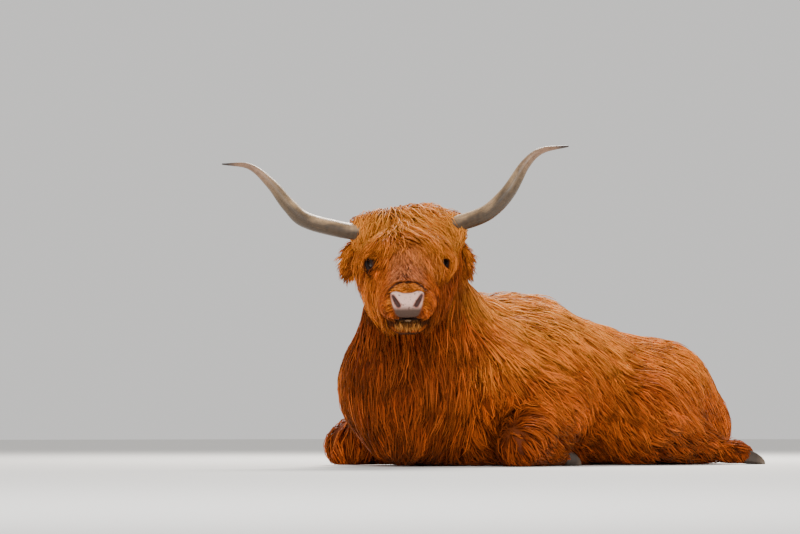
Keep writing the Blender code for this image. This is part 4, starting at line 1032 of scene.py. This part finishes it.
def eye_material():
    """A moist eye: its colours are painted on, under a clear coat."""
    return painted_material("eye_moist", (9.0, 1.0, 1.0), (1.0, 3.0), (0.3, 0.7, 0.7, 1.3), None,
                            Roughness=0.12, Coat_Weight=0.25, Coat_Roughness=0.03)


def tongue_material():
    made, nodes, links, shader = node_material("tongue_moist")
    place = nodes.new("ShaderNodeTexCoord").outputs["Object"]
    grain = noise_node(nodes, links, place, 420.0, 3.0)
    ramp_node = nodes.new("ShaderNodeValToRGB")
    ramp_node.color_ramp.elements[0].color = (0.16, 0.07, 0.03, 1.0)
    ramp_node.color_ramp.elements[1].color = (0.42, 0.25, 0.12, 1.0)
    ramp_node.color_ramp.elements[0].position = 0.3
    ramp_node.color_ramp.elements[1].position = 0.7
    links.new(grain, ramp_node.inputs["Fac"])
    links.new(ramp_node.outputs["Color"], shader.inputs["Base Color"])
    bumped(nodes, links, shader, grain, 0.6, 0.001)
    shader.inputs["Roughness"].default_value = 0.34
    return made


def set_attribute(mesh, name, kind, field, values):
    attribute = mesh.attributes.new(name, kind, "POINT")
    attribute.data.foreach_set(field, np.asarray(values, dtype=np.float32).ravel())


def set_strand(mesh, across, along):
    """Marks where each vertex lies across and along its strand."""
    rows = np.stack([across, along, np.zeros(len(along))], axis=1)
    set_attribute(mesh, "strand", "FLOAT_VECTOR", "vector", rows)


def set_tint(mesh, colours):
    rows = np.ones((len(colours), 4))
    rows[:, :3] = np.clip(colours, 0.0, 1.0)
    set_attribute(mesh, "tint", "FLOAT_COLOR", "color", rows)


def unwrapped(thing):
    """Unwraps a mesh by its own shape into the map OFBake."""
    while thing.data.uv_layers:
        thing.data.uv_layers.remove(thing.data.uv_layers[0])
    thing.data.uv_layers.new(name="OFBake")
    bpy.ops.object.select_all(action="DESELECT")
    thing.select_set(True)
    bpy.context.view_layer.objects.active = thing
    bpy.ops.object.mode_set(mode="EDIT")
    bpy.ops.mesh.select_all(action="SELECT")
    bpy.ops.uv.smart_project(angle_limit=math.radians(66.0), island_margin=0.003)
    bpy.ops.object.mode_set(mode="OBJECT")
    return thing


def tail_masses():
    """The tail without its tuft."""
    points = smooth_route(TAIL_ROUTE, 12)
    masses = []
    for index, (first, second) in enumerate(zip(points, points[1:])):
        radius = TAIL_RADIUS - TAIL_TAPER * index
        masses.append(mass(first, second, radius, radius - TAIL_TAPER, blend=0.02))
    return masses


def shank_masses():
    """Lower legs."""
    masses = []
    for hock, fetlock, pastern, radius in SHANKS.values():
        size = radius - 0.004
        masses.append(mass(hock, fetlock, size, size * 0.92, blend=0.02))
        masses.append(mass(fetlock, fetlock, size * 1.08, size * 1.08, blend=0.02))
        masses.append(mass(fetlock, pastern, size, size * 0.94, blend=0.02))
    return masses


def make_skin(body_flesh, head_flesh):
    """One skin: a coarser body and a finer head, parted at the nape and fused there."""
    body = flesh_object("skin", body_flesh, BODY_VOXEL)
    boolean(body, "INTERSECT", half_space(NAPE_POINT + NAPE_NORMAL * 0.001, -NAPE_NORMAL))
    head = flesh_object("head_skin", head_flesh, HEAD_VOXEL)
    for *shape, _ in head_hollows():
        mesh = hull_of_mass(*shape, 0.0, 3)
        mesh.transform(HEAD)
        boolean(head, "DIFFERENCE", new_object("hollow", mesh))
    modified(head, "REMESH", mode="VOXEL", voxel_size=HEAD_FINE_VOXEL)
    modified(head, "SMOOTH", factor=0.5, iterations=2)
    boolean(head, "INTERSECT", half_space(NAPE_POINT, NAPE_NORMAL))
    boolean(body, "UNION", head)
    boolean(body, "INTERSECT", half_space((0.0, 0.0, SKIN_FLOOR), UP))
    body.data.materials.clear()
    body.data.shade_smooth()
    return body


def paint_skin(skin):
    """The markings of the skin, darkened as painted shade under the coat, with painted shade in the
    nostrils and the mouth, and where it is bare leather.
    """
    mesh = skin.data
    points = coordinates(mesh)
    zone = zones(points)
    local, head = zone["local"], zone["head"]
    # Painted shade: the skin under the coat takes the coat's colours, darkened.
    colours = tints(points, vertex_normals(mesh)) * SKIN_PAINTED_SHADE
    pad = head * pad_share(local)
    leather = mixed(np.tile(LEATHER, (len(points), 1)), LEATHER_LOW,
                    0.94 * ramp(-local[:, 2], 0.036, 0.064))
    colours = mixed(colours, leather, pad)
    nostril = nostril_distance(local)
    ahead = head * ramp(-local[:, 1], 0.40, 0.43)
    colours = mixed(colours, NOSTRIL_RIM, 0.70 * ahead * (1.0 - ramp(nostril, 0.0010, 0.0060)))
    # Painted shade: the nostrils' hollows are painted near black.
    colours = mixed(colours, NOSTRIL, 0.97 * ahead * (1.0 - ramp(nostril, -0.0008, 0.0026)))
    # Painted shade: the slit of the mouth is painted near black.
    mouth = head * (1.0 - ramp(mouth_distance(local), 0.0005, 0.003))
    colours = mixed(colours, MOUTH, mouth)
    colours = mixed(colours, LIDS, head * (1.0 - ramp(zone["eye"], 0.016, 0.026)))
    set_tint(mesh, colours)
    set_attribute(mesh, "pad", "FLOAT", "value", np.clip(pad + mouth, 0.0, 1.0))


def make_nose(skin, finish):
    """The nose's leather, a thin closed sheet on the skin, sunk in at its rim."""
    mesh = skin.data.copy()
    zone = zones(coordinates(mesh))
    share = zone["head"] * pad_share(zone["local"])
    bm = bmesh.new()
    bm.from_mesh(mesh)
    spare = [face for face in bm.faces if min(share[vert.index] for vert in face.verts) < 0.5]
    bmesh.ops.delete(bm, geom=spare, context="FACES")
    bm.normal_update()
    for vert in bm.verts:
        vert.co += vert.normal * (PAD_SINK if vert.is_boundary else PAD_LIFT)
    bm.to_mesh(mesh)
    bm.free()
    nose = modified(new_object("nose_leather", mesh), "SOLIDIFY", thickness=PAD_THICK, offset=-1.0)
    nose.data.materials.clear()
    nose.data.materials.append(finish)
    nose.data.shade_smooth()
    return nose


def bare(points):
    """1 where no hair grows: nose, mouth, eyes and horns' roots."""
    zone = zones(points)
    local, head = zone["local"], zone["head"]
    none = head * pad_share(local)
    none = np.maximum(none, head * (mouth_distance(local) < 0.0015))
    none = np.maximum(none, head * (nostril_distance(local) < 0.004) * (local[:, 1] < -0.43))
    none = np.maximum(none, zone["eye"] < 0.0185)
    for side in (1, -1):
        end = np.array(horn_point(side, 1))
        start = (np.array(horn_point(side, 0)) + end) / 2.0
        none = np.maximum(none, capsule_distance(points, start, end, 0.026, 0.026, np.ones(3)) < 0.0)
    return none


def make_coat(skin, body_flesh, head_flesh, rng):
    """The tufts of body and head, in pieces of at most PIECE_TUFTS."""
    made = []
    for name, flesh, count, on_head, swing, share, pull in (
            ("coat_body", body_flesh, BODY_TUFTS, False, 0.24, 0.055, 0.70),
            ("coat_head", head_flesh, HEAD_TUFTS, True, 0.30, 0.060, 0.62)):

        def weigh(points, facing):
            density = coat_sizes(points)[3]
            head = (points - NAPE) @ NAPE_WAY > 0.0
            wanted = head if on_head else ~head
            hidden = (points[:, 2] < 0.012) | ((facing[:, 2] < -0.80) & (points[:, 2] < 0.10))
            return density * wanted * (1.0 - bare(points)) * np.where(hidden, 0.05, 1.0)

        roots, _, uv = mesh_samples(skin.data, count, weigh, rng)
        normals = flesh.normals(roots)
        length, lift, width, _ = coat_sizes(roots)
        length = length * rng.uniform(0.75, 1.25, count)
        width = width * rng.uniform(0.70, 1.30, count)
        paths, ups, layer = grow(flesh, roots, normals, length, lift, swing, rng)
        paths, groups = clumped(paths, share, pull, rng)
        paths[:, :, 2] = np.maximum(paths[:, :, 2], TUFT_FLOOR)
        tint = varied(tints(roots, normals), groups, rng, layer)
        kept = np.ones(count, dtype=bool)
        if on_head:
            paths, kept = trimmed(paths)
        order = np.argsort(-(roots @ np.array([0.25, 1.0, 0.15])))
        order = order[kept[order]]
        for index, chosen in enumerate(np.array_split(order, -(-count // PIECE_TUFTS))):
            mesh = tuft_mesh(f"{name}_{index + 1}", paths[chosen], ups[chosen], width[chosen],
                             tint[chosen], uv[chosen], rng)
            made.append(new_object(mesh.name, mesh))
    return made


def free_tufts(name, roots, normals, ways, length, lift, width, tint, uv, fall, rng):
    """Tufts that hang from a thin part such as an ear or the tail's end."""
    count = len(roots)
    aside = unit(np.cross(ways, normals))
    phase = rng.uniform(0.0, 2.0 * math.pi, count)
    paths = np.empty((count, STEPS + 1, 3))
    for index, along in enumerate(ALONG):
        wave = 0.10 * np.sin(phase + along * 4.5) * along
        paths[:, index] = (roots + ways * (length * along)[:, None]
                           + normals * (lift * RIDE[index])
                           + aside * (length * wave)[:, None]
                           + DOWN * (fall * length * along * along)[:, None])
    paths[:, :, 2] = np.maximum(paths[:, :, 2], TUFT_FLOOR)
    paths, groups = clumped(paths, 0.12, 0.6, rng)
    ups = np.repeat(normals[:, None, :], STEPS + 1, axis=1)
    mesh = tuft_mesh(name, paths, ups, np.full(count, width), varied(tint, groups, rng), uv, rng)
    return new_object(name, mesh)


def tube_mesh(name, points, radii, sides, bulge=None):
    """A closed tube of round rings; gives the mesh, each vertex's share along and its angle."""
    bm = bmesh.new()
    rings = []
    across = None
    along = []
    angles = []
    last = len(points) - 1
    for index, centre in enumerate(points):
        ahead = (points[min(index + 1, last)] - points[max(index - 1, 0)]).normalized()
        if across is None:
            across = UP.cross(ahead).normalized()
        across = (across - ahead * across.dot(ahead)).normalized()
        up = ahead.cross(across)
        ring = []
        for side in range(sides):
            angle = 2 * math.pi * side / sides
            size = radii[index] * (1.0 + (bulge(index / last, angle) if bulge else 0.0))
            ring.append(bm.verts.new(centre + across * (size * math.cos(angle))
                                     + up * (size * math.sin(angle))))
            along.append(index / last)
            angles.append(angle)
        rings.append(ring)
    mesh = mesh_of_rings(bm, name, rings, list(reversed(rings[0])))
    return mesh, np.array(along), np.array(angles)


def make_horn(name, side, material):
    """A horn with faint growth rings at its base, pale above and mottled brown below as painted light and
    shade.
    """
    points = smooth_route([horn_point(side, index) for index in range(len(HORN_ROUTES[side]))],
                          HORN_RINGS)
    radii = []
    for ring in range(HORN_RINGS):
        part = ring / (HORN_RINGS - 1)
        taper = max(0.0, part - HORN_EVEN) / (1.0 - HORN_EVEN)
        radii.append(HORN_RADIUS * (1.0 - 0.06 * part) * (1.0 - 0.90 * taper ** 1.25))

    def bulge(part, angle):
        growth = 0.016 * math.sin(part * 230.0) * max(0.0, 1.0 - part / 0.32)
        dents = 0.014 * math.sin(part * 19.0 + angle * 2.0) + 0.008 * math.sin(part * 47.0 - angle * 3.0)
        return growth + dents * (1.0 - part)

    mesh, along, angles = tube_mesh(name, points, radii, HORN_SIDES, bulge)
    centres = np.array([np.array(point) for point in points]).repeat(HORN_SIDES, axis=0)
    high = unit(coordinates(mesh) - centres)[:, 2]
    # Painted light and shade: pale where the surface faces up, darker olive where it faces down, most at
    # the base, with a mottled edge.
    under = ramp(-high + 0.20 * np.sin(along * 31.0 + angles * 2.0), -0.85, 0.15)
    base = 1.0 - ramp(along, 0.42, 0.85)
    colours = mixed(np.tile(IVORY, (len(along), 1)), OLIVE, under * (0.45 + 0.45 * base))
    colours = mixed(colours, ROSE, 0.65 * ramp(along, 0.58, 0.84))
    colours = mixed(colours, TIP, ramp(along, 0.885, 0.975))
    set_tint(mesh, colours)
    set_strand(mesh, angles + 10.0 * side, along * 3.0)
    mesh.materials.append(material)
    return new_object(name + "_keratin", mesh)


def make_eye(name, side, material):
    """An eyeball with a dark brown iris, a wide dark pupil and the bulge of its cornea."""
    bm = bmesh.new()
    bmesh.ops.create_icosphere(bm, subdivisions=5, radius=EYE_RADIUS)
    mesh = mesh_from(bm, name)
    centre, axis, along, across = eye_basis(side)
    points = coordinates(mesh)
    outward = unit(points) @ np.array(axis)
    points *= (1.0 + 0.045 * ramp(outward, 0.72, 0.95))[:, None]
    flat_along = points @ np.array(along) / EYE_RADIUS
    flat_across = points @ np.array(across) / EYE_RADIUS
    pupil = 1.0 - ramp(np.sqrt((flat_along / 0.42) ** 2 + (flat_across / 0.24) ** 2), 0.85, 1.05)
    away = np.sqrt(flat_along ** 2 + flat_across ** 2)
    colours = mixed(np.tile(EYE_WHITE, (len(points), 1)), IRIS, 1.0 - ramp(away, 0.60, 0.70))
    set_tint(mesh, mixed(colours, PUPIL, pupil))
    set_strand(mesh, np.arctan2(flat_across, flat_along), away)
    world = (points + np.array(centre)) @ np.array(HEAD.to_3x3()).T + np.array(HEAD.translation)
    mesh.vertices.foreach_set("co", world.astype(np.float32).ravel())
    mesh.shade_smooth()
    mesh.materials.append(material)
    return new_object(name + "_ball", mesh)


def ear_mesh(name, root, along, across, front, length):
    """A cupped, tapering shell of two sheets, closed at its rim."""
    bm = bmesh.new()
    sheets = {1: [], -1: []}
    for face in (1, -1):
        for step in range(EAR_STEPS + 1):
            part = step / EAR_STEPS
            half = 0.011 + 0.033 * math.sin(math.pi * min(1.0, 0.12 + 0.88 * part)) ** 0.8
            half = max(half, 0.004)
            cup = 0.022 * math.sin(math.pi * min(1.0, 0.25 + 0.70 * part))
            thick = 0.0030 * (1.0 - 0.6 * part) + 0.0010
            row = []
            for span in range(EAR_SPANS + 1):
                spot = 2.0 * span / EAR_SPANS - 1.0
                depth = cup * (spot * spot - 0.5) + face * thick * (1.0 - 0.75 * spot * spot)
                row.append(bm.verts.new(FACE @ (root + along * (length * part) + across * (half * spot)
                                                + front * depth)))
            sheets[face].append(row)
    for rows in sheets.values():
        for step in range(EAR_STEPS):
            for span in range(EAR_SPANS):
                bm.faces.new((rows[step][span], rows[step][span + 1], rows[step + 1][span + 1],
                              rows[step + 1][span]))
    for step in range(EAR_STEPS):
        for span in (0, EAR_SPANS):
            bm.faces.new((sheets[1][step][span], sheets[1][step + 1][span],
                          sheets[-1][step + 1][span], sheets[-1][step][span]))
    for step in (0, EAR_STEPS):
        for span in range(EAR_SPANS):
            bm.faces.new((sheets[1][step][span], sheets[1][step][span + 1],
                          sheets[-1][step][span + 1], sheets[-1][step][span]))
    bmesh.ops.recalc_face_normals(bm, faces=bm.faces)
    mesh = mesh_from(bm, name)
    mesh.shade_smooth()
    return mesh


def make_ear(name, side, material, hair, rng):
    """A cupped ear, dark inside, with hair outside, a fringe on its rim and long hairs in its cup."""
    root = Vector((side * EAR_ROOT[0], EAR_ROOT[1], EAR_ROOT[2]))
    tip = Vector((side * EAR_TIP[0], EAR_TIP[1], EAR_TIP[2]))
    along = (tip - root).normalized()
    front = Vector((side * 0.25, -1.0, 0.0))
    front = (front - along * front.dot(along)).normalized()
    across = along.cross(front) * side
    length = (tip - root).length
    mesh = ear_mesh(name, root, along, across, front, length)
    shell = unwrapped(new_object(name + "_shell", mesh))
    mesh = shell.data
    turn = np.array(FACE.to_3x3())
    inner = ramp(vertex_normals(mesh) @ (turn @ np.array(front)), -0.1, 0.4)
    set_tint(mesh, mixed(np.tile(np.array(RUST) * 0.6, (len(inner), 1)), EAR_INSIDE, inner))
    set_attribute(mesh, "pad", "FLOAT", "value", np.zeros(len(inner)))
    mesh.materials.append(material)

    roots, normals, uv = mesh_samples(mesh, EAR_TUFTS, evenly, rng)
    back = np.array(FACE.inverted().to_3x3())
    place = (back @ (roots - np.array(FACE.translation)).T).T - np.array(root)
    part = np.clip(place @ np.array(along) / length, 0.0, 1.0)
    aside = place @ np.array(across)
    rim = np.abs(aside) / 0.044
    inside = ramp(normals @ (turn @ np.array(front)), 0.1, 0.6)
    ways = (turn @ np.array(along))[None, :] * 0.80 + normals * 0.32 + DOWN * 0.25
    outward = (turn @ np.array(across))[None, :] * np.sign(aside)[:, None]
    ways = unit(ways + outward * (0.55 * ramp(rim, 0.4, 1.0))[:, None]
                + rng.normal(0.0, 0.14, roots.shape))
    lengths = 0.018 + 0.008 * ramp(part, 0.3, 1.0) + 0.014 * ramp(rim, 0.5, 1.0)
    lengths = lengths * rng.uniform(0.7, 1.4, len(roots))
    tint = mixed(np.tile(LIGHT, (len(roots), 1)), DEEP, 0.75 * inside * (1.0 - 0.9 * ramp(rim, 0.4, 0.8)))
    coat = free_tufts("coat_" + name, roots, normals, ways, lengths, 0.005, 0.0034, tint, uv, 0.20,
                      rng)
    coat.data.materials.append(hair)
    return [shell, coat]


def make_switch(material, hair, rng):
    """The tail's tuft: a thin core with long hairs fanned along the floor."""
    points = smooth_route(SWITCH_ROUTE[:3], SWITCH_RINGS)
    radii = [SWITCH_RADIUS * (1.0 - 0.6 * index / (SWITCH_RINGS - 1))
             for index in range(SWITCH_RINGS)]
    mesh, _, _ = tube_mesh("switch_core", points, radii, 14)
    core = unwrapped(new_object("tail_switch_core", mesh))
    mesh = core.data
    set_tint(mesh, np.tile(np.array(DEEP), (len(mesh.vertices), 1)))
    set_attribute(mesh, "pad", "FLOAT", "value", np.zeros(len(mesh.vertices)))
    mesh.materials.append(material)
    roots, normals, uv = mesh_samples(mesh, SWITCH_TUFTS, evenly, rng)
    route = np.array([np.array(point) for point in smooth_route(SWITCH_ROUTE, SWITCH_POINTS)])
    nearest = np.argmin(np.linalg.norm(roots[:, None, :] - route[None, :, :], axis=2), axis=1)
    ahead = (route[np.minimum(nearest + 18, SWITCH_POINTS - 1)]
             - route[np.minimum(nearest, SWITCH_POINTS - 4)])
    ways = unit(unit(ahead) + normals * 0.22 + rng.normal(0.0, 0.07, roots.shape))
    lengths = rng.uniform(0.11, 0.19, len(roots))
    tint = mixed(np.tile(RUST, (len(roots), 1)), LIGHT, rng.random(len(roots)))
    coat = free_tufts("coat_tail_switch", roots, normals, ways, lengths, 0.010, 0.0056, tint, uv,
                      0.10, rng)
    coat.data.materials.append(hair)
    return [core, coat]


def make_claw(name, heel, toe, width, material):
    """One claw of a cloven hoof: a wedge with a rounded toe, flat below, with growth rings."""
    ahead = toe - heel
    length = ahead.length
    ahead.normalize()
    across = ahead.cross(UP).normalized()
    up = across.cross(ahead)
    shares, widths, heights = zip(*CLAW_SHAPE)
    bm = bmesh.new()
    rings = []
    along = []
    for step in range(CLAW_RINGS):
        part = -0.15 + 1.15 * math.sin(0.5 * math.pi * step / (CLAW_RINGS - 1))
        wide = float(np.interp(part, shares, widths))
        high = float(np.interp(part, shares, heights))
        wide *= 1.0 + 0.012 * math.sin(part * 60.0)
        ring = []
        for side in range(CLAW_SIDES):
            angle = 2 * math.pi * side / CLAW_SIDES
            x = 0.5 * math.copysign(abs(math.cos(angle)) ** 0.6, math.cos(angle))
            z = 0.5 * math.copysign(abs(math.sin(angle)) ** 0.6, math.sin(angle))
            z = -0.5 + (high + 0.5) * (z + 0.5)
            spot = (heel + ahead * (length * part) + across * (width * wide * x)
                    + up * (HOOF_HEIGHT * z))
            spot.z = max(spot.z, CLAW_FLOOR)
            ring.append(bm.verts.new(spot))
            along.append(part)
        rings.append(ring)
    mesh = mesh_of_rings(bm, name, rings, rings[0])
    along = np.array(along)
    colours = mixed(np.tile(CLAW_HEEL, (len(along), 1)), CLAW_TOE, ramp(along, 0.35, 1.0) * 0.7)
    set_tint(mesh, CLAW_DARK * colours)
    set_strand(mesh, np.zeros(len(along)), along)
    mesh.materials.append(material)
    return new_object(name + "_horn", mesh)


def make_claws(shank, material):
    """The two claws of a foot, each with its node's name."""
    _, fetlock, pastern, radius = SHANKS[shank]
    ahead = (Vector(pastern) - Vector(fetlock)).normalized()
    ahead.z = -0.10
    ahead.normalize()
    across = ahead.cross(UP).normalized()
    claws = []
    for side, mark in ((1, "a"), (-1, "b")):
        heel = Vector(pastern) + across * (side * radius * 0.58)
        heel.z = HOOF_HEIGHT * 0.5 + 0.004
        toe = heel + ahead * HOOF_LENGTH
        node = shank.replace("shank", "claw") + "_" + mark
        claws.append((node, make_claw(node, heel, toe, radius * 1.04, material)))
    return claws


def make_tongue(material):
    """The tongue's front, just seen between the lips."""
    masses = [mass((0.0, -0.350, -0.136), (0.0, -0.428, -0.143), 0.0075, 0.0055, (2.8, 1.0, 1.0))]
    thing = flesh_object("tongue_front", Flesh([(masses, HEAD)]), TONGUE_VOXEL)
    thing.data.shade_smooth()
    thing.data.materials.clear()
    thing.data.materials.append(material)
    return thing


def aimed(thing, way):
    """Turns a light or the camera to look along a way."""
    thing.rotation_mode = "QUATERNION"
    thing.rotation_quaternion = way.to_track_quat("-Z", "Y")


def area_light(name, place, target, size, power, colour=(1.0, 1.0, 1.0)):
    data = bpy.data.lights.new(name, "AREA")
    data.shape = "DISK"
    data.size = size
    data.energy = power
    data.color = colour
    lamp = new_object(name, data)
    lamp.location = place
    aimed(lamp, Vector(target) - Vector(place))


def make_stage():
    """A pale floor, a pale world and soft light from above."""
    bm = bmesh.new()
    bmesh.ops.create_grid(bm, x_segments=1, y_segments=1, size=30.0)
    floor = new_object("floor", mesh_from(bm, "floor"))
    made, _, _, shader = node_material("floor_pale")
    shader.inputs["Base Color"].default_value = (0.74, 0.73, 0.71, 1.0)
    shader.inputs["Roughness"].default_value = 0.9
    floor.data.materials.append(made)
    world = bpy.data.worlds.new("pale")
    world.use_nodes = True
    sky = world.node_tree.nodes["Background"].inputs
    sky["Color"].default_value = (1.0, 0.985, 0.965, 1.0)
    sky["Strength"].default_value = 0.80
    bpy.context.scene.world = world
    area_light("key", (-1.9, 2.3, 4.4), (0.0, 0.3, 0.4), 2.4, 640.0, (1.0, 0.96, 0.90))
    area_light("front", (4.5, -5.0, 3.0), (0.0, -0.2, 0.5), 3.0, 260.0)


def make_camera():
    """The photo's viewing angle: low, from the cow's front left."""
    back = Vector((math.sin(CAMERA_TURN), -math.cos(CAMERA_TURN), 0.0))
    right = Vector((math.cos(CAMERA_TURN), math.sin(CAMERA_TURN), 0.0))
    data = bpy.data.cameras.new("camera")
    data.sensor_width = 36.0
    data.lens = CAMERA_LENS
    camera = new_object("camera", data)
    camera.location = (SHIFT + back * CAMERA_DISTANCE + right * CAMERA_ASIDE
                       + Vector((0.0, 0.0, CAMERA_HEIGHT)))
    look = -back * math.cos(CAMERA_PITCH) + Vector((0.0, 0.0, math.sin(CAMERA_PITCH)))
    aimed(camera, look)
    bpy.context.scene.camera = camera


def finish_piece(thing, slot, *nodes):
    """Moves a piece from the cow's frame to the row's, parents it to the root and hides the solids it
    stands for.
    """
    thing.data.transform(Matrix.Translation(SHIFT))
    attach(thing, "root")
    if nodes:
        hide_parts(*nodes)


low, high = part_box("eye_L")
SHIFT = (low + high) / 2 - HEAD @ Vector(EYE_AT)
SHIFT.z = 0.0
rng = np.random.default_rng(SEED)
make_camera()
make_stage()

trunk = torso_masses() + neck_masses() + leg_masses() + shank_masses() + tail_masses()
body_flesh = Flesh([(trunk, None), (head_masses(), HEAD)])
head_flesh = Flesh([(neck_masses(), None), (head_masses() + lid_masses(), HEAD)])

skin = unwrapped(make_skin(body_flesh, head_flesh))
skin_finish = skin_material("skin_and_short_coat")
hair_finish = coat_material()
skin.data.materials.append(skin_finish)
paint_skin(skin)
for coat in make_coat(skin, body_flesh, head_flesh, rng):
    coat.data.materials.append(hair_finish)
    finish_piece(coat, "coat")
finish_piece(make_nose(skin, skin_material("nose_leather")), "muzzle", "nose_pad")
finish_piece(skin, "coat", *FLESH_NODES)

horn_finish = horn_material()
eye_finish = eye_material()
for mark, side in (("L", 1), ("R", -1)):
    finish_piece(make_horn("horn_" + mark, side, horn_finish), "horn", "horn_" + mark)
    finish_piece(make_eye("eye_" + mark, side, eye_finish), "eye", "eye_" + mark)
    shell, coat = make_ear("ear_" + mark, side, skin_finish, hair_finish, rng)
    finish_piece(shell, "coat", "ear_" + mark)
    finish_piece(coat, "coat")
core, coat = make_switch(skin_finish, hair_finish, rng)
finish_piece(core, "coat", "tail_switch")
finish_piece(coat, "coat")
hoof_finish = hoof_material()
for shank in SHANKS:
    for node, claw in make_claws(shank, hoof_finish):
        finish_piece(claw, "hoof", node)
finish_piece(make_tongue(tongue_material()), "tongue", "tongue")

bpy.context.view_layer.update()
